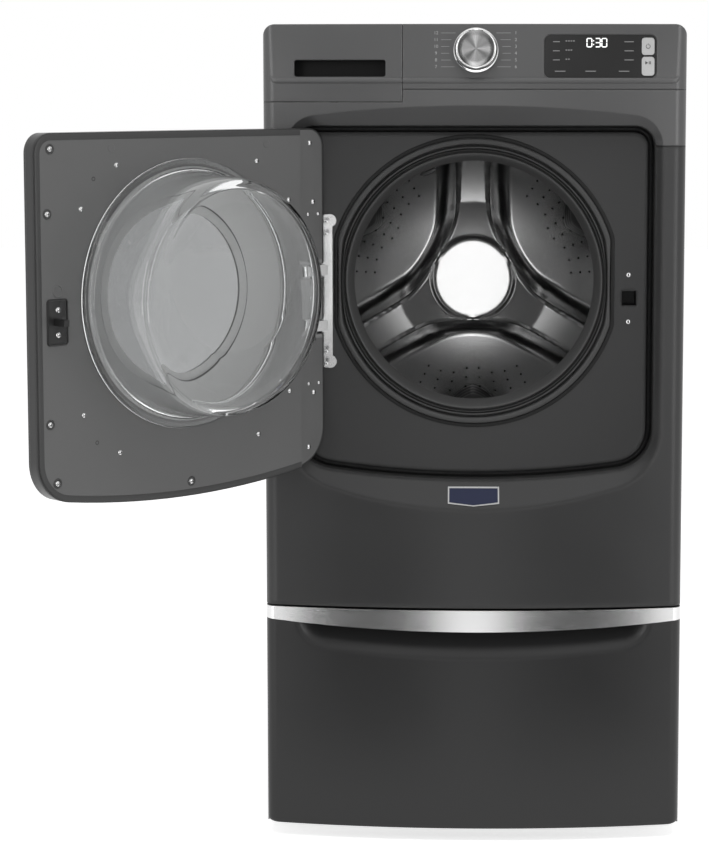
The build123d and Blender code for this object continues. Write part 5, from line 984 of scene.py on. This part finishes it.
# ---- Door lock -------------------------------------------
# The lock sits behind the pocket's floor: a dark slot for the hook, and two screws, one above
# and one below it, that hold the lock to the panel.
black_mould = coated("black_mould", grey(30), 0.45, grain=600.0, bump=0.2, shine=0.3)
dress(black_mould, "door_lock", "cord_gland", "drain_pump", "tub_dampers",
      "foot_front_left", "foot_front_right", "foot_rear_left", "foot_rear_right")
lock_screws = [(0.253, FLOOR_Y, PORT_Z - 0.027 + side * 0.0385) for side in (-1, 1)]
bracket_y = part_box("hinge_bracket")[0].y
bracket_screws = [(-0.241, bracket_y, PORT_Z - 0.016 + up) for up in (-0.116, -0.096, 0.116, 0.096)]
lock_heads = screws("door_lock_screws", lock_screws, 0.0044, 0.0028, FACE_FRONT)
bracket_heads = screws("hinge_bracket_screws", bracket_screws, 0.0036, 0.0016, FACE_FRONT)
fit(lock_heads, "cabinet", "screw_steel", "front_screws")
fit(bracket_heads, "cabinet", "screw_steel")

# ---- Door gasket -----------------------------------------
# A moulded rubber bellows from the front panel to the tub. Its collar is cut flat at both
# sides; grooves and folds run round inside the collar, and a near-black bead fills the dark ring outside it.
bellows_rubber = coated("bellows_rubber", grey(60), 0.5, cloud=0.05, grain=500.0, bump=0.15, shine=0.3)
seal_black = coated("seal_black", grey(22), 0.55, cloud=0.05, grain=500.0, shine=0.25)
dress(bellows_rubber, "drain_hose")
dress(seal_black, "drive_belt")
RIM_R = 241
RIM_FLAT = 230


def collar_piece(name, outline, finish):
    """A ring turned about the porthole's axis whose outer points follow the collar's two flats."""
    rings = []
    for turn in full_turn(240):
        rim = min(RIM_R, RIM_FLAT / max(abs(math.cos(turn)), 1e-6))
        rings.append([port_point((radius - hold * (RIM_R - rim)) * MM, turn, along * MM)
                      for along, radius, hold in outline])
    return skin_over(name, rings, finish, sharp=50)


dark_ring_bead = softened([
    (-0.2, 240.6, 1), (-1.6, 240.4, 1), (-2.2, 238.5, 1), (-2.2, 236.5, 1), (-1.6, 234.4, 1),
    (-0.2, 234.2, 1)], 1)
fit(collar_piece("door_seal_bead", dark_ring_bead, seal_black), "cabinet", "gasket_rubber")
bellows_outline = softened([
    (-0.2, 233.6, 1), (-3.0, 233.6, 1), (-4.6, 232.6, 1), (-5.2, 230, 0.9), (-4.8, 227, 0.7),
    (-3.6, 225.2, 0.6), (2, 224.4, 0.55), (7, 224.0, 0.5), (8, 222.6, 0.45), (5, 221.2, 0.4),
    (0, 220.8, 0.4), (-1.2, 219.6, 0.3), (-0.6, 218.2, 0.2), (4, 217.6, 0.2), (7, 216.8, 0.1),
    (5, 216.0, 0.1), (0.6, 215.6, 0), (0.4, 214.6, 0), (5, 214.2, 0), (9, 213.0, 0), (8, 211.4, 0),
    (2, 210.8, 0), (1.0, 209.2, 0), (3, 206.6, 0), (9, 203, 0), (17, 199.4, 0), (23, 197.2, 0),
    (27, 196.6, 0), (30, 197.6, 0), (30, 199.6, 0), (24, 203, 0), (26, 207, 0), (36, 206, 0),
    (44, 203.4, 0), (50, 203.0, 0), (56, 205.4, 0), (64, 212, 0), (80, 216.4, 0), (88, 217.6, 0),
    (88, 220.4, 0), (78, 219.6, 0), (62, 215.4, 0), (54, 208.8, 0), (48, 206.6, 0), (40, 208.6, 0),
    (30, 211, 0), (20, 212.6, 0), (15, 216, 0), (14, 222, 0.1), (11, 226, 0.3), (3, 225.8, 0.6),
    (-0.2, 226, 0.8)], 2)
bellows = collar_piece("door_gasket_bellows", bellows_outline, bellows_rubber)
fit(bellows, "cabinet", "gasket_rubber", "door_gasket")

nozzle_black = coated("nozzle_black", grey(34), 0.4, cloud=0.05, grain=700.0, shine=0.4)
NOZZLE_TURN = math.radians(113)
NOZZLE_R = 0.1935
NOZZLE_IN = 0.034
nozzle_way = Vector((-math.sin(NOZZLE_TURN), 0, math.cos(NOZZLE_TURN)))
nozzle_outline = [(14.5 * math.cos(math.pi * step / 16), 5.4 * max(math.sin(math.pi * step / 16), 0) ** 1.4)
                  for step in range(17)]
nozzle_place = axis_place(port_point(NOZZLE_R, NOZZLE_TURN, NOZZLE_IN), nozzle_way)
nozzle = turned_piece("spray_nozzle", nozzle_outline, nozzle_place, nozzle_black, steps=32, closed=False)
fit(nozzle, "cabinet", "black_plastic")

# ---- Drum ------------------------------------------------
# Stainless steel: a rolled shell with rows of pressed holes, and a deep drawn back whose three
# lobes stand forward between the channels that clear the spider's arms.
EVEN = (400, 400, 400)
drum_stainless = brushed("drum_stainless", grey(198), 0.22, stretch=EVEN, contrast=0.03, bump=0.03)
shell_stainless = brushed("shell_stainless", grey(150), 0.3, stretch=EVEN, contrast=0.03, bump=0.03)
dress(shell_stainless, "drum_shell")
# The holes are small sunk cones in near-black: painted shade for the dark tub seen through them.
hole_dark = coated("hole_dark", grey(14), 0.6, cloud=0.05)
wash = joints["drum_turn"]
wash_place = axis_place(wash["pos_m"], wash["axis"])
BACK_ALONG = 555.0
BACK_R = 272.2
BACK_SHEET = 1.2
LOBE_TURNS = (30, 150, 270)
LOBE_RISE = 44.0
LOBE_FALL = math.tan(math.radians(4.5))
LOBE_CORNER = 100.0
CREST_R = 74.0
SHOULDER = 42.0
BEAD_HIGH, BEAD_OUT, BEAD_WIDE = 1.6, 1.5, 2.2
RIM_OUTER_R, RIM_ROUND = 266.0, 26.0
HUB_R = 72.0
HUB_RISE = 15.0
HUB_EDGE = 9.0
HUB_STEP = 4.0
CHANNEL_HALF = 28.0
CHANNEL_FLARE, FLARE_REACH = 10.0, 45.0
NEAR_FALL, NEAR_REACH = math.tan(math.radians(7.5)), 70.0
FAR_FALL = math.tan(math.radians(2.2))


def held(value):
    """A share held between nothing and all."""
    return min(max(value, 0), 1)


def eased(share):
    """A share that starts and ends gently."""
    return share * share * (3 - 2 * share)


def lobe_rise(radius, turn):
    """How far the drum's back stands forward of its outer edge at a radius and an angle in degrees."""
    nearest = min(abs((turn - lobe + 180) % 360 - 180) for lobe in LOBE_TURNS)
    past_hub = max(radius - HUB_R, 0)
    half = CHANNEL_HALF + CHANNEL_FLARE * math.exp(-past_hub / FLARE_REACH)
    first, second = [radius * math.sin(math.radians(60 + away)) - half for away in (-nearest, nearest)]
    inside = LOBE_CORNER - math.hypot(max(LOBE_CORNER - first, 0), max(LOBE_CORNER - second, 0))
    hub_step = HUB_STEP * (1 - eased(held(past_hub / HUB_EDGE)))
    fall = min(past_hub, NEAR_REACH) * NEAR_FALL + max(past_hub - NEAR_REACH, 0) * FAR_FALL
    floor_rise = HUB_RISE + hub_step - fall
    bead = BEAD_HIGH * math.exp(-((inside + BEAD_OUT) / BEAD_WIDE) ** 2)
    shoulder = math.sin(math.pi / 2 * held(inside / SHOULDER))
    rim_side = math.sin(math.pi / 2 * held((RIM_OUTER_R - radius) / RIM_ROUND))
    dome = LOBE_RISE - max(radius - CREST_R, 0) * LOBE_FALL
    return (floor_rise + (dome - floor_rise) * shoulder + bead) * rim_side


def in_drum(x, y, along):
    """A point in the drum, from millimetres across, up and along its axis."""
    return wash_place @ (Vector((x, y, along)) * MM)


def build_drum_back():
    """A fine polar sheet pressed by the rise, closed with its own thickness."""
    radii = [HUB_R * step / 12 for step in range(12)]
    radii += [HUB_R + (BACK_R - HUB_R) * step / 84 for step in range(85)]
    rings = []
    for degree in range(360):
        cos, sin = math.cos(math.radians(degree)), math.sin(math.radians(degree))
        front = [(radius, BACK_ALONG - BACK_SHEET - lobe_rise(radius, degree)) for radius in radii]
        back = [(radius, along + BACK_SHEET) for radius, along in reversed(front)]
        rings.append([in_drum(radius * cos, radius * sin, along) for radius, along in front + back])
    return skin_over("drum_back_pressing", rings, drum_stainless, wrap=False, sharp=60)


fit(build_drum_back(), "drum", "drum_steel", "drum_back")
HOLE_DEPTH = 0.001
HOLE_TAPER = 0.6
PANEL_TURN = math.radians(120)


def spot_grid(tree, given):
    """Points in three panels of Columns by Rows, and each point's panel, row and column."""
    panel = times(tree, given["Columns"], given["Rows"])
    line = node(tree, "GeometryNodeMeshLine", Count=times(tree, panel, 3.0))["Mesh"]
    index = node(tree, "GeometryNodeInputIndex")[0]
    which = worked(tree, "FLOOR", worked(tree, "DIVIDE", index, panel))
    left = minus(tree, index, times(tree, which, panel))
    row = worked(tree, "FLOOR", worked(tree, "DIVIDE", left, given["Columns"]))
    return line, which, row, minus(tree, left, times(tree, row, given["Columns"]))


def from_middle(tree, number, count):
    """A row's or column's number, counted from the middle one."""
    return minus(tree, number, times(tree, minus(tree, count, 1.0), 0.5))


def panel_turn(tree, across, which, first):
    """A spot's angle about the axis: across its panel, and the panel's own place."""
    return plus(tree, across, plus(tree, times(tree, which, PANEL_TURN), math.radians(first)))


def round_axis(tree, turn, radius, along):
    """A point at an angle, a radius and a distance along the axis."""
    return node(tree, "ShaderNodeCombineXYZ", X=times(tree, worked(tree, "COSINE", turn), radius),
                Y=times(tree, worked(tree, "SINE", turn), radius), Z=along)[0]


def pierced(tree, given, made, line, place, facing):
    """End a tree with a small sunk cone on every point, coloured near-black as painted shade, which reads as
    a pierced hole.
    """
    radius = given["Hole Radius"]
    cone = node(tree, "GeometryNodeMeshCone", {"fill_type": "NGON"}, Vertices=10, Radius_Top=radius,
                Radius_Bottom=times(tree, radius, HOLE_TAPER), Depth=HOLE_DEPTH)["Mesh"]
    spots = node(tree, "GeometryNodeSetPosition", Geometry=line, Position=place)[0]
    return instanced(tree, made, spots, coloured(tree, cone, given["Finish"]), facing)


def build_shell_hole_tree():
    """Staggered rows of holes round the drum's wall, in panels between the lifters."""
    tree, given, made = growth_tree(
        "drum_shell_holes", Wall_Radius=0.2722, Hole_Radius=0.002, First=0.16, Pitch=0.024, Step=0.11,
        Columns=13, Rows=15, Finish="Material")
    line, which, row, column = spot_grid(tree, given)
    stagger = times(tree, worked(tree, "MODULO", row, 2.0), 0.5)
    across = plus(tree, from_middle(tree, column, given["Columns"]), stagger)
    turn = panel_turn(tree, times(tree, across, given["Step"]), which, 90)
    along = plus(tree, given["First"], times(tree, row, given["Pitch"]))
    inward = round_axis(tree, turn, -1.0, 0.0)
    facing = node(tree, "FunctionNodeAlignRotationToVector", {"axis": "Z"}, Vector=inward)[0]
    return pierced(tree, given, made, line, round_axis(tree, turn, given["Wall Radius"], along), facing)


def build_back_hole_tree():
    """Short rows of holes that fan over each lobe of the drum's back, drawn in at its middle."""
    tree, given, made = growth_tree(
        "drum_back_holes", Outer_Radius=0.216, Draw_In=0.018, Pitch=0.017, Step=0.133, Crest_Level=0.5,
        Crest_Radius=0.074, Fall=0.158, Columns=3, Rows=8, Hole_Radius=0.002, Finish="Material")
    line, lobe, row, column = spot_grid(tree, given)
    off = times(tree, from_middle(tree, row, given["Rows"]), given["Step"])
    square = worked(tree, "POWER", worked(tree, "ABSOLUTE", off), 2.0)
    drawn_in = times(tree, worked(tree, "EXPONENT", times(tree, square, -40.0)), given["Draw In"])
    radius = minus(tree, minus(tree, given["Outer Radius"], drawn_in), times(tree, column, given["Pitch"]))
    fall = times(tree, minus(tree, radius, given["Crest Radius"]), given["Fall"])
    place = round_axis(tree, panel_turn(tree, off, lobe, 30), radius, plus(tree, given["Crest Level"], fall))
    facing = node(tree, "FunctionNodeEulerToRotation", Euler=(math.pi, 0, 0))[0]
    return pierced(tree, given, made, line, place, facing)


crest_level = (BACK_ALONG - BACK_SHEET - LOBE_RISE) * MM
shell_holes = grown("drum_shell_holes", build_shell_hole_tree(), [(0, 0, 0)], Finish=hole_dark)
back_holes = grown("drum_back_holes", build_back_hole_tree(), [(0, 0, 0)], Finish=hole_dark,
                   Crest_Level=crest_level, Crest_Radius=CREST_R * MM, Fall=LOBE_FALL)
for holes in (shell_holes, back_holes):
    holes.data.transform(wash_place)
    fit(holes, "drum", "drum_steel")

# ---- Lifters ---------------------------------------------
# Three hollow moulded fins screwed along the drum's wall, with a waved ridge and fluted flanks
# that catch the wash.
lifter_mould = coated("lifter_mould", grey(48), 0.4, grain=700.0, bump=0.1, shine=0.4)
LIFTER_START, LIFTER_END = 150.0, 533.0
LIFTER_FOOT_R = 271.6
LIFTER_RISE = 75.6
LIFTER_HALF = 90.0
LIFTER_WAVES = 4.5
LIFTER_ENDS = 0.08


def build_lifter(name, turn):
    """Sections along the drum: a waisted fin whose ridge rises and falls, rounded down at both ends."""
    sections = 72
    rings = []
    for step in range(sections + 1):
        share = step / sections
        along = LIFTER_START + (LIFTER_END - LIFTER_START) * share
        ends = math.sin(math.pi / 2 * min(share / LIFTER_ENDS, (1 - share) / LIFTER_ENDS, 1.0))
        wave = math.cos(2 * math.pi * LIFTER_WAVES * share)
        height = LIFTER_RISE * (0.90 + 0.10 * wave) * max(ends, 0.04)
        half = LIFTER_HALF * (0.96 + 0.04 * wave) * (0.35 + 0.65 * max(ends, 0.0))
        ring = []
        for across in range(25):
            side = across / 12 - 1
            ridge = (math.cos(math.pi * side) + 1) / 2
            flank = 0.25 * (1 - abs(side)) + 0.75 * ridge ** 0.8
            ring.append((half * side, math.sqrt(LIFTER_FOOT_R ** 2 - (half * side) ** 2) - height * flank))
        for across in range(1, 12):
            x = half * (1 - across / 6)
            ring.append((x, math.sqrt(LIFTER_FOOT_R ** 2 - x ** 2)))
        cos, sin = math.cos(math.radians(turn - 90)), math.sin(math.radians(turn - 90))
        rings.append([in_drum(x * cos - y * sin, x * sin + y * cos, along) for x, y in ring])
    return skin_over(name, rings, lifter_mould, loop=False, sharp=60)


for number, turn in enumerate(LOBE_TURNS):
    lifter = build_lifter("drum_lifter_%d" % (number + 1), turn)
    if number == 0:
        fit(lifter, "drum", "white_plastic", "drum_lifters")
    else:
        fit(lifter, "drum", "white_plastic")

# ---- Tub, drive and water parts --------------------------
# Filled plastic tub halves, a cast counterweight, a die cast spider and pulley, a direct belt
# motor, and pale moulded water parts.
pale_mould = coated("pale_mould", grey(205), 0.45, grain=500.0, bump=0.15)
dress(pale_mould, "tub_front", "tub_rear", "dispenser_housing", "dispenser_tray", "softener_cup",
      "inlet_valve", "pedestal_drawer_box")
cast_skin = coated("cast_skin", grey(120), 0.6, cloud=0.1, grain=260.0, bump=0.6, metal=0.7)
dress(cast_skin, "counterweight", "drum_shaft", "drum_bearings", "drum_pulley", "motor_housing",
      "motor_rotor")
dress(screw_zinc, "tub_springs")

# ---- Drawer front ----------------------------------------
# The drawer's pressed front bows forward between rounded ends. A wide finger scoop with soft
# edges is pressed in under the handle strip, and the strip lies in a shallow seat above it.
PEDESTAL_BOW = 0.034
PEDESTAL_CORNER = 0.016
LOW_CORNER = 0.008
STRIP_THICK = 0.003
STRIP_RISE = 0.0154
SCOOP_HEIGHT = 0.050
SCOOP_HALF = 0.296
SCOOP_DEEP = 0.034
SCOOP_RISE = 0.020
SCOOP_BEHIND = 0.012
SKIN_BACK = 0.0005
drawer_low, drawer_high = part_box("pedestal_drawer_front")
strip_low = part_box("pedestal_handle_strip")[0].z


def drawer_depth(x, z, half, edge):
    """Depth of the drawer's front at a point, where the strip's lower edge is at a known height."""
    y = FRONT + bow_depth(x, PEDESTAL_BOW) + round_off(abs(x) - half + PEDESTAL_CORNER, PEDESTAL_CORNER)
    y += round_off(LOW_CORNER / 2 - (z - drawer_low.z), LOW_CORNER / 2)
    above = max(strip_low - z + SCOOP_RISE * (x / SCOOP_HALF) ** 2, 0)
    beside = max(SCOOP_HEIGHT - (SCOOP_HALF - abs(x)), 0)
    share = held(1 - math.hypot(above, beside) / SCOOP_HEIGHT)
    scoop = SCOOP_DEEP * eased(share) if z <= edge + SCOOP_BEHIND else 0.0
    return y + max(scoop, STRIP_THICK if z > edge else 0.0)


def build_drawer_front():
    """Rows that follow the strip's lower edge, each a closed loop round the front and the flat back."""
    shares = [0.0, 0.002, 0.005, 0.009, 0.014, 0.02] + [0.03 + 0.72 * step / 16 for step in range(17)]
    shares += [0.75 + 0.25 * step / 44 for step in range(1, 45)]
    behind = [0.0001, 0.004, 0.008, 0.0118, 0.0122, 0.016, 1.0]
    across = [math.copysign(1 - (1 - abs(step) / 100) ** 1.25, step) for step in range(-100, 101)]
    rings = []
    for row in shares + behind:
        ring = []
        for place in across:
            edge = strip_low + STRIP_RISE * place ** 2
            z = drawer_low.z + (edge - drawer_low.z) * row if len(rings) < len(shares) else edge + row
            z = min(z, drawer_high.z)
            half = drawer_high.x - round_off(LOW_CORNER - (z - drawer_low.z), LOW_CORNER)
            x = place * half
            ring.append(Vector((x, min(drawer_depth(x, z, half, edge), drawer_high.y - SKIN_BACK), z)))
        ring += [Vector((point.x, drawer_high.y, point.z)) for point in reversed(ring)]
        rings.append(ring)
    return skin_over("pedestal_drawer_pressing", rings, pressing_coat, loop=False, sharp=50)


# Painted shade: the drawer front wears the cabinet's paint set darker, so it reads darker than the lit paint
# would.
pressing_coat = coated("pressing_coat", grey(38, 1.0, 1.01), 0.34, cloud=0.04, grain=1400.0, shine=0.3)
fit(build_drawer_front(), "pedestal_drawer", "graphite_paint", "pedestal_drawer_front")

# ---- Drawer handle strip ---------------------------------
# A rolled strip of brushed stainless steel along the drawer front's top edge.
strip_steel = brushed("strip_steel", grey(215), 0.24, stretch=(3, 900, 900), contrast=0.06, bump=0.04)
dress(strip_steel, "pedestal_handle_strip")

# ---- Room ------------------------------------------------
# A plain white floor and backdrop, a wide ceiling light, a tall light behind the viewer, two
# side lights, and two dark cards that shape what the bright metal reflects.
ROOM = 14.0
FLOOR_GLOW = 0.62
floor_mesh = bpy.data.meshes.new("studio_floor")
floor_corners = [(x * ROOM, y * ROOM, 0) for x, y in ((-1, -1), (1, -1), (1, 1), (-1, 1))]
floor_mesh.from_pydata(floor_corners, [], [(0, 1, 2, 3)])
floor = in_scene("studio_floor", floor_mesh)


def seen_directly(tree, level):
    """A level for what the eye, metal and glass see of the background, and nothing for other light."""
    path = tree.nodes.new("ShaderNodeLightPath").outputs
    seen = worked(tree, "MAXIMUM", path["Is Camera Ray"],
                  worked(tree, "MAXIMUM", path["Is Glossy Ray"], path["Is Transmission Ray"]))
    return worked(tree, "MULTIPLY", seen, level)


floor_paint, tree, surface = finish_start("floor_paint")
feed_all(tree, surface, Base_Color=(0.92, 0.92, 0.92, 1), Roughness=0.8, Specular_IOR_Level=0.1,
         Emission_Color=(1, 1, 1, 1), Emission_Strength=seen_directly(tree, FLOOR_GLOW))
floor.data.materials.append(floor_paint)
LIGHT_AIM = (0, 0, 0.8)


def soft_light(name, place, size, power, mirrored=False):
    """A large rectangular lamp aimed at the washer, seen in shiny surfaces only when mirrored is set."""
    lamp = bpy.data.lights.new(name, "AREA")
    lamp.shape = "RECTANGLE"
    lamp.size, lamp.size_y = size
    lamp.energy = power
    holder = in_scene(name, lamp)
    holder.location = place
    holder.rotation_euler = (Vector(LIGHT_AIM) - Vector(place)).to_track_quat("-Z", "Y").to_euler()
    holder.visible_camera = False
    holder.visible_glossy = mirrored
    holder.visible_transmission = False


soft_light("ceiling_light", (0, -1.4, 3.4), (2.6, 1.8), 62)
soft_light("front_light", (0, -7.5, 1.6), (2.6, 3.0), 44, mirrored=True)
soft_light("left_light", (-2.9, -3.7, 1.5), (0.9, 3.0), 34, mirrored=True)
soft_light("right_light", (2.9, -3.7, 1.5), (0.9, 3.0), 34, mirrored=True)

card_skin = coated("card_skin", grey(30), 0.9, shine=0.0)
CARD_NEAR_Y = -1.0
CARD_FAR_Y = -5.4
CARD_Z = 0.003
CARD_TOP = 4.0


def dark_card(name, near, far):
    """A card lying in front of the washer and turned up at its far end, seen only by shiny surfaces."""
    mesh = bpy.data.meshes.new(name)
    points = [(near[0], CARD_NEAR_Y, CARD_Z), (near[1], CARD_NEAR_Y, CARD_Z), (far[1], CARD_FAR_Y, CARD_Z),
              (far[0], CARD_FAR_Y, CARD_Z), (far[1], CARD_FAR_Y, CARD_TOP), (far[0], CARD_FAR_Y, CARD_TOP)]
    mesh.from_pydata(points, [], [(0, 1, 2, 3), (3, 2, 4, 5)])
    mesh.materials.append(card_skin)
    card = in_scene(name, mesh)
    for way in ("visible_camera", "visible_diffuse", "visible_transmission", "visible_shadow"):
        setattr(card, way, False)


dark_card("left_card", (-0.60, -0.10), (-2.3, -0.45))
dark_card("right_card", (0.10, 0.60), (0.45, 2.3))

WORLD_FILL = 0.42
world = bpy.data.worlds.new("studio")
bpy.context.scene.world = world
world.use_nodes = True
tree = world.node_tree
backdrop = plus(tree, seen_directly(tree, 1.0 - WORLD_FILL), WORLD_FILL)
feed_all(tree, tree.nodes["Background"].inputs, Color=(1, 1, 1, 1), Strength=backdrop)

VIEW_PITCH = math.radians(6.198)
VIEW_YAW = math.radians(1.187)
view = bpy.data.cameras.new("view")
view.lens = 100.65
view.sensor_width = 36.0
view.sensor_fit = "AUTO"
view.shift_x, view.shift_y = -0.07, -0.10
camera = in_scene("camera", view)
camera.location = (-0.0151, -4.3345, 1.2514)
camera.rotation_euler = (math.pi / 2 - VIEW_PITCH, 0, VIEW_YAW)
bpy.context.scene.camera = camera
bpy.context.scene.view_settings.view_transform = "Standard"
